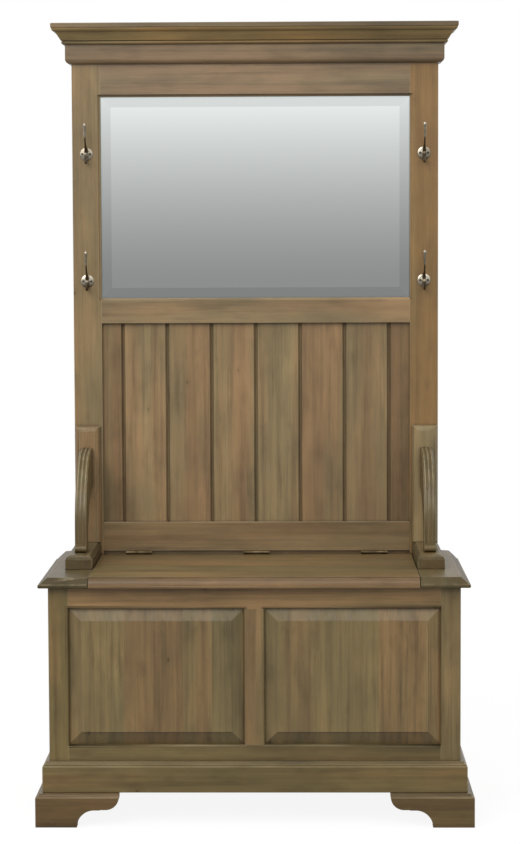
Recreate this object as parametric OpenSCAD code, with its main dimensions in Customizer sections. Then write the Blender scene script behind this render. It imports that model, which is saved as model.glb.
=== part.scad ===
// Hall tree bench: a panelled storage chest on bracket feet with a lift-up seat,
// two curved arms, and a tall back with a mirror, boards, coat hooks and a cornice.
// Millimetres, +Z up, front towards -Y. The origin is on the floor, midway.

/* [Overall] */
// Width across the feet
overall_w = 1016; // [970:1:1100]
// Height to the top of the cornice
overall_h = 1880; // [1820:1:1960]
// Depth from the front feet to the wall
overall_d = 463; // [440:1:500]

/* [Feet and plinth] */
// Height of the bracket feet
foot_h = 78; // [70:1:90]
// Length of one bracket along the front or the side
foot_len = 194; // [185:1:205]
// Length of the flat bottom of a bracket
foot_pad = 96; // [88:1:100]
// Radius of the hollow in a bracket
foot_hollow_r = 40; // [34:1:44]
// Radius of the rounded toe of a bracket
foot_toe_r = 31; // [24:1:33]
// Thickness of a bracket
foot_t = 24; // [20:1:30]
// Side of the block glued inside each foot
foot_block = 50; // [40:1:60]
// Height of those blocks above the floor
foot_block_up = 2; // [1:0.5:4]
// How far the feet stand out from the plinth
foot_step = 15.5; // [12:0.5:18]
// Height of the moulded top of a foot
foot_mould_h = 13; // [10:1:16]
// Height of the plinth boards
plinth_h = 72; // [66:1:80]
// How far the plinth stands out from the chest
plinth_step = 15.5; // [12:0.5:18]
// Radius of the hollow on the plinth and feet
mould_hollow = 8; // [6:0.5:9]
// Radius of the rounded shoulder under that hollow
mould_round = 3; // [2:0.5:4]
// Height of the moulded top of the plinth
plinth_mould_h = 16; // [13:1:18]

/* [Chest] */
// Height of the fixed seat above the floor
seat_h = 579; // [560:1:600]
// Thickness of the frames
frame_t = 22; // [20:1:26]
// Width of the front stiles
front_stile_w = 46; // [40:1:54]
// Width of the upright between the front panels
mullion_w = 47; // [42:1:56]
// Height of the front and side top rails
top_rail_h = 51; // [45:1:60]
// Height of the bottom rails above the plinth
bottom_rail_show = 37; // [32:1:44]
// Width of the side stiles
side_stile_w = 62; // [50:1:70]
// Radius of the quarter round on the frame edges
stick_r = 5; // [4:0.5:6]
// Width of the fillet beside that quarter round
stick_fillet = 2; // [1:0.5:3]
// Depth of that fillet
stick_depth = 1; // [0.8:0.1:1.4]
// Depth of the panel grooves
groove_depth = 8; // [6:1:10]
// Width of the panel grooves
groove_w = 6.4; // [6:0.1:7]
// Distance from the frame face to the panel grooves
groove_set = 11.5; // [11:0.5:12.5]
// Play between a panel tongue and its groove
panel_play = 0.2; // [0.1:0.1:0.4]
// Width of the bevel round a raised panel
bevel_w = 29; // [24:1:34]
// Step between the bevel and the raised field
field_step = 2; // [1.5:0.5:3]
// Distance from the frame face to the raised field
field_set = 3; // [2:0.5:4]
// Thickness of the chest floor
floor_t = 12; // [9:1:15]
// Height of the chest floor above the plinth's lower edge
floor_rise = 34; // [30:1:45]
// Side of the cleats under the chest floor
cleat = 20; // [16:1:24]
// Thickness of the chest's back panel
back_t = 6; // [4:1:8]

/* [Seat] */
// Thickness of the fixed seat
slab_t = 23; // [21:1:26]
// How far the seat stands out from the chest
slab_over = 21.5; // [19:0.5:24]
// Height of the upright edge of the seat's nosing
nose_h = 4; // [3:0.5:6]
// Depth of the slope over that edge
nose_run = 20; // [16:1:22]
// Width of the ledge between the edge and the slope
nose_ledge = 2.5; // [1.5:0.5:4]
// Radius under the edge of the fixed seat
end_round = 4; // [3:0.5:5]
// Radius under the edge of the lid
lid_round = 2; // [1.5:0.5:3]
// Radius of the seat's rear corners
slab_corner_r = 50; // [40:1:55]
// Width of each fixed end of the seat
end_w = 114.5; // [113:0.5:114.5]
// Thickness of the lid
lid_t = 25; // [24:1:28]
// Height of the step over the hollow in the lid's nosing
lid_step = 3.5; // [3:0.5:5]
// Depth of that hollow and the ledge under the step
lid_run = 14; // [10:1:18]
// Width of that ledge
lid_ledge = 1.5; // [1:0.5:2.5]
// How far the lid stands out from the fixed seat
lid_proud = 3; // [2:0.5:4]
// Gap at each side of the lid
lid_gap = 2; // [1.5:0.5:3]
// Width of the battens under the lid
batten_w = 45; // [35:1:55]
// Thickness of the battens
batten_t = 18; // [14:1:22]
// Distance of the battens' middles from the lid's sides
batten_in = 152; // [120:1:180]
// Distance of the battens from the front frame
batten_front = 14; // [8:1:40]
// Distance of the battens from the lid's rear edge
batten_back = 45; // [30:1:80]

/* [Hinges] */
// Length of a hinge
hinge_l = 64; // [50:1:76]
// Distance of the outer hinges' middles from the lid's sides
hinge_in = 92; // [60:1:110]
// Outer radius of the hinge knuckles
knuckle_r = 4.5; // [4:0.5:5]
// Radius of the hinge pins
pin_r = 1.6; // [1.4:0.1:2]
// Running clearance round the pins
pin_clear = 0.05; // [0.03:0.01:0.08]
// Thickness of the hinge leaves
leaf_t = 1.2; // [1:0.1:1.4]
// Height of the hinge leaves below the seat
leaf_h = 20; // [17:1:20]
// Length of the hinge screws
hinge_screw_l = 14; // [10:1:18]
// Gap between the lid and the strip behind it
seam = 2.4; // [2:0.1:2.6]
// Distance from the seat's seam to the back's face
hinge_set = 12; // [10:1:16]

/* [Back] */
// Distance from the feet's outer sides to the posts
hutch_inset = 61; // [58:1:64]
// Depth of the posts
post_d = 70; // [64:1:80]
// Width of the posts
post_w = 69; // [66:1:72]
// Thickness of the back's rails
rail_t = 24; // [22:1:28]
// Height of the rail under the boards
low_rail_h = 81; // [76:1:90]
// Height of the rebate under that rail
low_rebate_h = 10; // [9:1:13]
// Depth of the rebate under that rail
low_rebate_d = 8; // [6:1:10]
// Height of the rail under the mirror
mid_rail_h = 62; // [56:1:70]
// Height of the mirror opening
mirror_h = 491; // [460:1:520]
// Height of the rail over the mirror that shows
top_rail_show = 80; // [60:1:90]
// Pitch of the boards
board_pitch = 109; // [100:1:112]
// Thickness of the boards
board_t = 12; // [10:1:14]
// Distance from the back's face to the boards
board_set = 10; // [8:1:11]
// Width of the bevel at each board edge
board_bevel = 4.5; // [3.5:0.5:5]
// Gap between the faces of two boards
board_gap = 2; // [1.5:0.5:2.5]
// How far boards and glass reach behind the frame
lap = 8; // [6:1:10]
// Width of the hollow round the mirror
mirror_stick = 6; // [5:0.5:7]
// Distance from the back's face to the glass
glass_set = 8; // [7:0.5:9]
// Thickness of the mirror glass
glass_t = 4; // [3:0.5:5]
// Width of the bevel round the glass
glass_bevel = 25; // [18:1:30]
// Drop of that bevel at its outer edge
glass_drop = 1.6; // [1:0.1:2]
// Thickness of the board behind the glass
backing_t = 4; // [3:0.5:5]
// Side of the beads that hold the glass
bead = 8; // [7:0.5:8]

/* [Cornice] */
// Height from the frieze's lower edge to the top
crown_h = 96; // [90:1:110]
// How far the top board stands out from the back
crown_step = 46; // [40:1:50]
// Thickness of the top board
crown_t = 12; // [10:1:15]
// How far the frieze stands out from the back
frieze_step = 14; // [12:1:16]
// Radius of the frieze's rounded lower edge
frieze_r = 11; // [9:1:11]
// Height of the cornice moulding
cornice_h = 38; // [34:1:42]
// Radius of the cornice's round under the top board
cornice_cap_r = 9; // [7:0.5:10]
// Radius of the top board's edges
crown_round = 2.5; // [1.5:0.5:4]
// How far the top board stands out over the cornice
crown_reveal = 1.5; // [1:0.5:3]
// Radius of the small round at the foot of the cornice
astragal_r = 4; // [3:0.5:5]

/* [Arms] */
// How far the arms' middles stand outside the posts' middles
arm_shift = 4; // [4:0.5:5]
// Width of an arm
arm_w = 28; // [24:1:32]
// How far an arm reaches forwards
arm_reach = 174; // [165:1:180]
// Height of an arm above the seat
arm_rise = 267; // [255:1:280]
// Depth of an arm at its upright part
arm_t = 42; // [38:1:46]
// Height of an arm where it meets its plate
arm_root = 99; // [90:1:110]
// Radius of the grooves between the reeds
reed_groove_r = 1.4; // [1:0.1:1.8]
// Radius of the rounded toe of an arm
arm_toe_r = 9; // [7:1:10]
// Width of an arm's plate on the post
plate_w = 62; // [58:1:63]
// Thickness of an arm's plate
plate_t = 18; // [16:1:20]
// Height of an arm's plate above the seat
plate_rise = 320; // [310:1:340]
// Width of an arm's base
arm_base_w = 64; // [60:1:64]
// Height of an arm's base
arm_base_h = 33; // [30:1:36]
// Length of an arm's base in front of its plate
arm_base_l = 227; // [215:1:235]
// Width of an arm plate's moulded edge
plate_mould = 11; // [8:1:12]
// Width of an arm base's moulded edge
base_mould = 9; // [6:1:10]
// Width of the steps beside the rounds of those edges
mould_step = 1.5; // [1:0.5:2]

/* [Hooks] */
// Height of the upper hooks
hook_high = 1565; // [1500:1:1600]
// Height of the lower hooks
hook_low = 1255; // [1200:1:1300]
// Radius of a hook's round plate
rose_r = 16; // [14:1:17]
// Thickness of that plate
rose_t = 3; // [2.5:0.5:4]
// Width and height of the step round that plate
rose_step = 1; // [0.5:0.1:1.5]
// Radius of a hook's prongs where they start
prong_r = 3.2; // [2.8:0.1:3.6]
// Radius of the upper prong's bend
hook_bend_r = 20; // [16:1:24]
// Height of the upper tip above the plate's middle
hook_tip_h = 74; // [68:1:80]
// How far the upper prong leans forwards below its bend, in degrees
hook_lean = 45; // [35:1:50]
// How far it leans forwards over its bend, in degrees
tip_lean = 5; // [0:1:10]
// Height of that bend's start above the prong's root
hook_run = 28; // [22:1:32]
// Height of the upper prong's root above the plate's middle
prong_low = 2; // [1:0.5:2.5]
// Radius of the upper prong's tip
tip_r = 5; // [4:0.5:6]
// Radius of the lower prong's bend
crook_r = 12; // [11:1:13]
// Height of the lower prong's root below the plate's middle
crook_low = 9; // [8:0.5:10]
// Length of the rod under the lower prong's ball
crook_rise = 8; // [6:1:10]
// Radius of the boss in the middle of the plate
boss_r = 6; // [5:0.5:6.5]
// Height of that boss
boss_h = 7.5; // [7:0.5:9]
// Part of its thickness that the upper prong keeps at its tip
prong_taper = 0.75; // [0.6:0.05:0.95]
// Radius of the ball on the lower prong
crook_ball_r = 5; // [4.5:0.1:6]
// Distance of the screws from the plate's middle
rose_screw_x = 9.5; // [9:0.5:11]
// Length of the hook screws
hook_screw_l = 22; // [16:1:30]

/* [Fixings] */
// Radius of the screw shanks
screw_r = 1.5; // [1.2:0.1:1.8]
// Radius of the screw heads
screw_head_r = 2.8; // [2.4:0.1:3]
// Play round screws and bolts in their holes
screw_play = 0.1; // [0.05:0.05:0.2]
// Radius of the bolts that hold the posts
bolt_r = 4; // [3:0.5:5]
// Radius of the bolt heads
bolt_head_r = 8; // [7:0.5:9]
// Height of the bolt heads
bolt_head_h = 5; // [4:0.5:6]
// Distance of the first bolt from the back's face
bolt_first = 14; // [12:1:16]
// Distance between the two bolts of a post
bolt_pitch = 20; // [18:1:22]
// Length of the bolts inside the posts
bolt_l = 60; // [40:1:80]

/* [Hidden] */
$fn = 64;
cut = 1;
knuckle_gap = 0.4;
hinge_lift = 0.5;
leaf_neck = 1;
glue_line = 0.15;
tongue_play = 1;
glass_play = 1;
small_fillet = 1;
bend_ring = 0.3;
crook_set = 0.5;
board_tongue = 3;
board_reach = 4;
wood_a = [0.49, 0.41, 0.31];
wood_b = [0.44, 0.36, 0.26];
wood_c = [0.54, 0.45, 0.35];
wood_dark = [0.36, 0.29, 0.21];
metal = [0.55, 0.53, 0.49];
half_w = overall_w / 2 - foot_step - plinth_step;
y_front = -overall_d / 2;
y_wall = overall_d / 2;
y_face = y_front + foot_step + plinth_step;
body_d = y_wall - y_face;
z_body = foot_h + plinth_h;
z_frame = seat_h - slab_t;
z_open = z_body + bottom_rail_show;
z_rail = z_frame - top_rail_h;
stick_w = stick_r + stick_fillet;
open_w = half_w - front_stile_w - mullion_w / 2;
open_x = mullion_w / 2 + open_w / 2;
open_h = z_rail - z_open;
open_z = (z_rail + z_open) / 2;
side_open_l = body_d - frame_t - 2 * side_stile_w;
y_side = y_face + frame_t + side_stile_w + side_open_l / 2;
tongue_t = groove_w - 2 * panel_play;
tongue_set = groove_set + panel_play;
tongue_reach = groove_depth - tongue_play;
y_hutch = y_wall - post_d;
hutch_w = overall_w - 2 * hutch_inset;
post_in = hutch_w / 2 - post_w;
y_seam = y_hutch - hinge_set;
y_axis = y_seam;
z_lid = z_frame + lid_t;
z_axis = z_lid + knuckle_r + hinge_lift;
slab_half = half_w + slab_over;
end_in = slab_half - end_w;
lid_w = 2 * (end_in - lid_gap);
batten_x = lid_w / 2 - batten_in;
hinge_x = lid_w / 2 - hinge_in;
y_nose = y_face - slab_over;
z_top_rail = overall_h - crown_h - top_rail_show;
z_mid_top = z_top_rail - mirror_h;
z_mid = z_mid_top - mid_rail_h;
z_low_top = seat_h + low_rail_h;
z_under_top = overall_h - crown_t;
z_frieze = overall_h - crown_h;
board_open = 2 * post_in;
board_full = floor(board_open / board_pitch);
z_arm_base = seat_h + arm_base_h;
y_plate = y_hutch - plate_t;
arm_bend_z = arm_rise - arm_reach;
hook_px = hutch_w / 2 - post_w / 2;
arm_x = hook_px + arm_shift;
plate_x = end_in + plate_w / 2;
side_name = [-1, 1];
knuckle_l = hinge_l / 3;

// Places its children on the right (side 1) or mirrored to the left (side -1)
module on_side(side) {
    if (side < 0) mirror([1, 0, 0]) children();
    else children();
}

// Runs a (y, z) outline along X, centred
module along_x(length) {
    rotate([90, 0, 90]) linear_extrude(length, center = true) children();
}

// Runs an (x, z) outline along Y, from y = 0 towards the front
module along_y(length) {
    rotate([90, 0, 0]) linear_extrude(length) children();
}

// Swaps the two directions of an outline
module swap() {
    mirror([1, -1]) children();
}

// A box from one corner to the opposite one
module block(from, to) {
    translate(from) cube(to - from);
}

// Section across an opening whose front edges have a quarter round, in (across, depth)
module stick_section(span, depth) {
    translate([-span / 2, -cut]) square([span, depth + 2 * cut]);
    for (s = side_name) on_side(s) {
        difference() {
            translate([span / 2 - cut, -cut]) square([stick_r + cut, stick_r + stick_depth + cut]);
            translate([span / 2 + stick_r, stick_r + stick_depth]) circle(stick_r);
        }
        translate([span / 2, -cut]) square([stick_w, stick_depth + cut]);
    }
}

// The space inside a moulded frame, centred, with its face at y = 0
module frame_opening(w, h, depth) {
    intersection() {
        linear_extrude(h + 4 * stick_w, center = true) stick_section(w, depth);
        along_x(w + 4 * stick_w) swap() stick_section(h, depth);
    }
}

// Section of a raised panel, in (across, depth)
module panel_section(span) {
    half = span / 2;
    polygon([[-half - tongue_reach, tongue_set + tongue_t], [-half - tongue_reach, tongue_set],
        [-half, tongue_set], [-half + bevel_w, field_set + field_step],
        [-half + bevel_w, field_set], [half - bevel_w, field_set],
        [half - bevel_w, field_set + field_step], [half, tongue_set],
        [half + tongue_reach, tongue_set], [half + tongue_reach, tongue_set + tongue_t]]);
}

// A raised panel for an opening of w by h, centred, with the frame's face at y = 0
module raised_panel(w, h) {
    intersection() {
        linear_extrude(h + 2 * tongue_reach, center = true) panel_section(w);
        along_x(w + 2 * tongue_reach) swap() panel_section(h);
    }
}

// The groove that holds a panel round an opening
module panel_groove(w, h) {
    translate([0, groove_set + groove_w / 2, 0])
        cube([w + 2 * groove_depth, groove_w, h + 2 * groove_depth], center = true);
}

// What both front openings take out of the front frame
module front_openings() {
    for (s = side_name) translate([s * open_x, y_face, open_z]) {
        frame_opening(open_w, open_h, frame_t);
        panel_groove(open_w, open_h);
    }
}

// What a side opening takes out of the side frame, for the right side
module side_opening() {
    translate([half_w, y_side, open_z]) rotate([0, 0, 90]) {
        frame_opening(side_open_l, open_h, frame_t);
        panel_groove(side_open_l, open_h);
    }
}

module front_stile(side) {
    color(wood_a) difference() {
        on_side(side) block([half_w - front_stile_w, y_face, foot_h], [half_w, y_face + frame_t, z_frame]);
        front_openings();
    }
}

module front_mullion() {
    color(wood_b) difference() {
        block([-mullion_w / 2, y_face, z_open], [mullion_w / 2, y_face + frame_t, z_rail]);
        front_openings();
    }
}

module front_top_rail() {
    inner = half_w - front_stile_w;
    color(wood_c) difference() {
        block([-inner, y_face, z_rail], [inner, y_face + frame_t, z_frame]);
        front_openings();
    }
}

module front_bottom_rail() {
    inner = half_w - front_stile_w;
    color(wood_c) difference() {
        block([-inner, y_face, foot_h], [inner, y_face + frame_t, z_open]);
        front_openings();
    }
}

module front_panel(side) {
    color(wood_b) translate([side * open_x, y_face, open_z]) raised_panel(open_w, open_h);
}

module side_stiles(side) {
    y_in = y_face + frame_t;
    color(wood_a) on_side(side) difference() {
        union() {
            block([half_w - frame_t, y_in, foot_h], [half_w, y_in + side_stile_w, z_frame]);
            block([half_w - frame_t, y_wall - side_stile_w, foot_h], [half_w, y_wall, z_frame]);
        }
        side_opening();
        rear_rebate();
    }
}

module side_rails(side) {
    y_in = y_face + frame_t + side_stile_w;
    color(wood_c) on_side(side) difference() {
        union() {
            block([half_w - frame_t, y_in, foot_h], [half_w, y_wall - side_stile_w, z_open]);
            block([half_w - frame_t, y_in, z_rail], [half_w, y_wall - side_stile_w, z_frame]);
        }
        side_opening();
    }
}

module side_panel(side) {
    color(wood_b) on_side(side) translate([half_w, y_side, open_z]) rotate([0, 0, 90])
        raised_panel(side_open_l, open_h);
}

// The rebate round the chest's back that takes its panel
module rear_rebate() {
    edge = half_w - frame_t + lap;
    block([-edge, y_wall - back_t, z_open - lap], [edge, y_wall + cut, z_rail + lap]);
}

module rear_rails() {
    inner = half_w - frame_t;
    color(wood_b) difference() {
        union() {
            block([-inner, y_wall - frame_t, foot_h], [inner, y_wall, z_open]);
            block([-inner, y_wall - frame_t, z_rail], [inner, y_wall, z_frame]);
        }
        rear_rebate();
    }
}

module back_panel() {
    edge = half_w - frame_t + lap - panel_play;
    low = z_open - lap + panel_play;
    high = z_rail + lap - panel_play;
    color(wood_dark) block([-edge, y_wall - back_t, low], [edge, y_wall, high]);
}

module box_floor() {
    z_floor = foot_h + floor_rise;
    edge = half_w - frame_t - panel_play;
    front = y_face + frame_t + panel_play;
    color(wood_b) block([-edge, front, z_floor], [edge, y_wall - frame_t - panel_play, z_floor + floor_t]);
}

module floor_cleats() {
    z_top = foot_h + floor_rise;
    inner = half_w - frame_t;
    front = y_face + frame_t;
    back = y_wall - frame_t;
    color(wood_dark) {
        block([-inner, front, z_top - cleat], [inner, front + cleat, z_top]);
        block([-inner, back - cleat, z_top - cleat], [inner, back, z_top]);
        for (s = side_name) on_side(s)
            block([inner - cleat, front + cleat + glue_line, z_top - cleat],
                [inner, back - cleat - glue_line, z_top]);
    }
}

// Section of a plinth board, in (out from the chest, height above its lower edge)
module plinth_section() {
    ledge = plinth_h - plinth_mould_h + mould_round;
    difference() {
        square([plinth_step, plinth_h]);
        translate([plinth_step, plinth_h]) circle(mould_hollow);
        translate([plinth_step - mould_round, ledge]) square([mould_round + cut, plinth_mould_h]);
    }
    translate([plinth_step - mould_round, ledge]) quarter_round();
}

// The rounded shoulder under the hollow of the plinth and feet
module quarter_round() {
    intersection() {
        circle(mould_round);
        translate([0, -cut]) square([mould_round, mould_round + cut]);
    }
}

// The plan of the front board of a mitred skirting that stands out by step
module front_plan(half, step) {
    polygon([[-half, y_face], [-half - step, y_face - step],
        [half + step, y_face - step], [half, y_face]]);
}

// The plan of its right side board
module side_plan(half, step) {
    polygon([[half, y_face], [half + step, y_face - step], [half + step, y_wall], [half, y_wall]]);
}

module plinth_front() {
    color(wood_a) intersection() {
        translate([0, y_face, foot_h]) along_x(overall_w) mirror([1, 0]) plinth_section();
        linear_extrude(overall_h) front_plan(half_w, plinth_step);
    }
}

module plinth_side(side) {
    color(wood_a) on_side(side) intersection() {
        translate([half_w, y_wall, foot_h]) along_y(overall_d) plinth_section();
        linear_extrude(overall_h) side_plan(half_w, plinth_step);
    }
}

// Outline of a bracket foot, in (distance from the outer corner, height)
module foot_outline() {
    flat_h = foot_hollow_r + small_fillet;
    hollow_x = foot_pad + foot_hollow_r;
    toe_x = foot_len - foot_toe_r;
    difference() {
        square([foot_len, foot_h]);
        translate([hollow_x, 0]) circle(foot_hollow_r);
        translate([hollow_x, -cut]) square([toe_x - hollow_x + cut, foot_hollow_r + cut]);
        translate([hollow_x + foot_hollow_r / 3, -cut]) square([toe_x - hollow_x, flat_h + cut]);
        difference() {
            translate([toe_x, -cut]) square([foot_toe_r + cut, flat_h + foot_toe_r + cut]);
            translate([toe_x, flat_h + foot_toe_r]) circle(foot_toe_r);
        }
    }
}

// Section of a foot bracket, in (in from its outer face, height)
module foot_section() {
    ledge = foot_h - foot_mould_h + mould_round;
    difference() {
        square([foot_t, foot_h]);
        translate([0, foot_h]) circle(mould_hollow);
        translate([-cut, ledge]) square([mould_round + cut, foot_mould_h]);
    }
    translate([mould_round, ledge]) mirror([1, 0]) quarter_round();
}

// The front bracket of the right front foot
module foot_front_bracket() {
    corner = half_w + plinth_step + foot_step;
    intersection() {
        translate([corner, y_front + foot_t, 0]) mirror([1, 0, 0]) along_y(foot_t) foot_outline();
        translate([0, y_front, 0]) along_x(2 * overall_w) foot_section();
        linear_extrude(overall_h)
            polygon([[corner, y_front], [0, y_front], [0, y_front + foot_t],
                [corner - foot_t, y_front + foot_t]]);
    }
}

// The side bracket of the right front foot
module foot_side_bracket() {
    corner = half_w + plinth_step + foot_step;
    intersection() {
        translate([corner - foot_t / 2, y_front, 0]) along_x(foot_t) foot_outline();
        translate([corner, y_wall, 0]) along_y(overall_d) mirror([1, 0]) foot_section();
        linear_extrude(overall_h)
            polygon([[corner, y_front + glue_line], [corner, y_wall], [corner - foot_t, y_wall],
                [corner - foot_t, y_front + foot_t + glue_line]]);
    }
}

module foot_front(side) {
    color(wood_b) on_side(side) {
        foot_front_bracket();
        foot_side_bracket();
    }
}

// The rear foot has a moulded side bracket and a plain one along the wall
module foot_rear(side) {
    corner = half_w + plinth_step + foot_step;
    inner = corner - foot_t;
    color(wood_b) on_side(side) {
        intersection() {
            translate([corner - foot_t / 2, y_wall, 0]) mirror([0, 1, 0]) along_x(foot_t) foot_outline();
            translate([corner, y_wall, 0]) along_y(overall_d) mirror([1, 0]) foot_section();
        }
        intersection() {
            translate([corner, y_wall, 0]) mirror([1, 0, 0]) along_y(foot_t) foot_outline();
            block([0, y_wall - foot_t, 0], [inner - glue_line, y_wall, foot_h]);
        }
    }
}

module foot_blocks() {
    x_out = half_w + plinth_step + foot_step - foot_t;
    front = y_front + foot_t;
    back = y_wall - foot_t;
    color(wood_dark) for (s = side_name) on_side(s) {
        block([x_out - foot_block, front, foot_block_up], [x_out, front + foot_block, foot_h]);
        block([x_out - foot_block, back - foot_block, foot_block_up], [x_out, back, foot_h]);
    }
}

// Section of the seat in (in from the tip, height): a round under an upright edge
module edge_section(depth, thick, round_r) {
    translate([round_r, 0]) square([depth - round_r, thick]);
    translate([0, round_r]) square([depth, nose_h]);
    translate([round_r, round_r]) circle(round_r);
}

// Nosing of the fixed seat, with a narrow ledge over that edge and a slope up to the seat
module nosing(depth) {
    edge_top = end_round + nose_h;
    difference() {
        edge_section(depth, slab_t, end_round);
        polygon([[-cut, edge_top], [nose_ledge, edge_top], [nose_run, slab_t],
            [nose_run, slab_t + cut], [-cut, slab_t + cut]]);
    }
}

// Nosing of the lid, with a hollow over that edge, a ledge and a step up to the top
module lid_nosing(depth) {
    edge_top = lid_round + nose_h;
    hollow_top = lid_t - lid_step;
    difference() {
        edge_section(depth, lid_t, lid_round);
        translate([-cut, hollow_top]) square([lid_run + cut, lid_t]);
        translate([0, hollow_top]) scale([lid_run - lid_ledge, hollow_top - edge_top])
            circle(1, $fn = 96);
    }
}

// One end of the fixed seat, on which an arm and a post stand
module seat_end(side) {
    color(wood_a) on_side(side) difference() {
        intersection() {
            translate([0, y_nose, z_frame]) along_x(2 * overall_w) nosing(overall_d);
            translate([slab_half, y_wall, z_frame]) along_y(overall_d) mirror([1, 0])
                nosing(slab_half);
            block([end_in, y_nose, z_frame], [slab_half, y_wall, seat_h]);
        }
        translate([slab_half - slab_corner_r, y_wall - slab_corner_r, z_frame - cut]) difference() {
            cube([slab_corner_r + cut, slab_corner_r + cut, slab_t + 2 * cut]);
            translate([0, 0, -cut]) cylinder(r = slab_corner_r, h = slab_t + 4 * cut);
        }
        post_bolt_holes();
    }
}

// The fixed strip behind the lid, on which the back stands
module seat_back_strip() {
    color(wood_a) difference() {
        block([-end_in, y_seam + seam / 2, z_frame], [end_in, y_wall, seat_h]);
        for (x = hinge_places()) translate([x, y_seam, 0]) {
            fixed_mortise();
            hinge_screw_places() fixed_screw(screw_play);
        }
    }
}

function hinge_places() = [-hinge_x, 0, hinge_x];

// The recess for a hinge leaf in the strip's front edge
module fixed_mortise() {
    block([-hinge_l / 2 - screw_play, 0, z_lid - leaf_h - screw_play],
        [hinge_l / 2 + screw_play, seam / 4 + leaf_t, z_lid + cut]);
}

// The recess for a hinge leaf in the lid's rear edge
module lid_mortise() {
    block([-hinge_l / 2 - screw_play, -seam / 4 - leaf_t, z_lid - leaf_h - screw_play],
        [hinge_l / 2 + screw_play, 0, z_lid + cut]);
}

// Three screws along a hinge leaf
module hinge_screw_places() {
    for (x = [-1, 0, 1]) translate([x * hinge_l / 3, 0, z_lid - leaf_h / 2]) children();
}

// A screw that runs back into the strip, with its head in the fixed leaf
module fixed_screw(play) {
    translate([0, seam / 4 - play, 0]) rotate([-90, 0, 0]) {
        cylinder(r = screw_r + play, h = hinge_screw_l + play);
        cylinder(r1 = screw_head_r + 2 * play, r2 = screw_r + play, h = leaf_t + play);
    }
}

// A screw that runs forwards into the lid, with its head in the lid's leaf
module lid_screw(play) {
    translate([0, -seam / 4 + play, 0]) rotate([90, 0, 0]) {
        cylinder(r = screw_r + play, h = hinge_screw_l + play);
        cylinder(r1 = screw_head_r + 2 * play, r2 = screw_r + play, h = leaf_t + play);
    }
}

module seat_lid() {
    front = y_nose - lid_proud;
    color(wood_c) difference() {
        intersection() {
            translate([0, front, z_frame]) along_x(lid_w) lid_nosing(overall_d);
            block([-lid_w / 2, front, z_frame], [lid_w / 2, y_seam - seam / 2, z_lid]);
        }
        for (x = hinge_places()) translate([x, y_seam, 0]) {
            lid_mortise();
            hinge_screw_places() lid_screw(screw_play);
        }
    }
}

module lid_battens() {
    front = y_face + frame_t + batten_front;
    back = y_seam - batten_back;
    color(wood_b) for (s = side_name) translate([s * batten_x, 0, 0])
        block([-batten_w / 2, front, z_frame - batten_t], [batten_w / 2, back, z_frame]);
}

// The barrel pieces of a hinge: the middle one belongs to the lid
module knuckle(from, to) {
    translate([from, 0, z_axis]) rotate([0, 90, 0]) cylinder(r = knuckle_r, h = to - from);
}

module pin_bore() {
    translate([-hinge_l, 0, z_axis]) rotate([0, 90, 0]) cylinder(r = pin_r + pin_clear, h = 2 * hinge_l);
}

module hinge_fixed_leaves() {
    inner = knuckle_l / 2 + knuckle_gap / 2;
    near = seam / 4;
    color(metal) for (x = hinge_places()) translate([x, y_axis, 0]) difference() {
        union() {
            for (s = side_name) on_side(s) {
                knuckle(inner, hinge_l / 2);
                block([inner, near, z_lid - leaf_neck], [hinge_l / 2, near + leaf_t, z_axis]);
            }
            block([-hinge_l / 2, near, z_lid - leaf_h], [hinge_l / 2, near + leaf_t, z_lid - leaf_neck]);
        }
        pin_bore();
        hinge_screw_places() fixed_screw(screw_play);
    }
}

module hinge_lid_leaves() {
    half = knuckle_l / 2 - knuckle_gap / 2;
    near = -seam / 4;
    color(metal) for (x = hinge_places()) translate([x, y_axis, 0]) difference() {
        union() {
            knuckle(-half, half);
            block([-half, near - leaf_t, z_lid - leaf_neck], [half, near, z_axis]);
            block([-hinge_l / 2, near - leaf_t, z_lid - leaf_h], [hinge_l / 2, near, z_lid - leaf_neck]);
        }
        pin_bore();
        hinge_screw_places() lid_screw(screw_play);
    }
}

module hinge_pins() {
    color(metal) for (x = hinge_places()) translate([x - hinge_l / 2, y_axis, z_axis])
        rotate([0, 90, 0]) cylinder(r = pin_r, h = hinge_l);
}

module hinge_fixed_screws() {
    color(metal) for (x = hinge_places()) translate([x, y_seam, 0]) hinge_screw_places() fixed_screw(0);
}

module hinge_lid_screws() {
    color(metal) for (x = hinge_places()) translate([x, y_seam, 0]) hinge_screw_places() lid_screw(0);
}

// Section across the mirror opening, in (across, depth), with a hollow edge
module mirror_section(span) {
    translate([-span / 2, -cut]) square([span, rail_t + 2 * cut]);
    for (s = side_name) on_side(s) {
        translate([span / 2, 0]) circle(mirror_stick);
        translate([span / 2 - cut, -cut]) square([mirror_stick + cut, cut + stick_depth]);
    }
}

// What the mirror takes out of the frame round it
module mirror_space() {
    z_mid_open = (z_top_rail + z_mid_top) / 2;
    translate([0, y_hutch, z_mid_open]) intersection() {
        linear_extrude(mirror_h + 4 * mirror_stick, center = true) mirror_section(board_open);
        along_x(board_open + 4 * mirror_stick) swap() mirror_section(mirror_h);
    }
    block([-post_in - lap, y_hutch + glass_set, z_mid_top - lap],
        [post_in + lap, y_wall + cut, z_top_rail + lap]);
}

// What the boards take out of the frame round them
module board_space() {
    block([-post_in - lap, y_hutch + board_set, z_low_top - lap],
        [post_in + lap, y_wall + cut, z_mid + lap]);
}

module post(side) {
    color(wood_a) difference() {
        on_side(side) block([post_in, y_hutch, seat_h], [hutch_w / 2, y_wall, z_under_top]);
        mirror_space();
        board_space();
        on_side(side) {
            for (z = [hook_low, hook_high]) hook_screw_pair(z, screw_play);
            post_bolt_holes();
        }
    }
}

// Centres of the two bolts under the right post
module post_bolt_places() {
    for (y = [bolt_first, bolt_first + bolt_pitch]) translate([hook_px, y_hutch + y, 0]) children();
}

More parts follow.
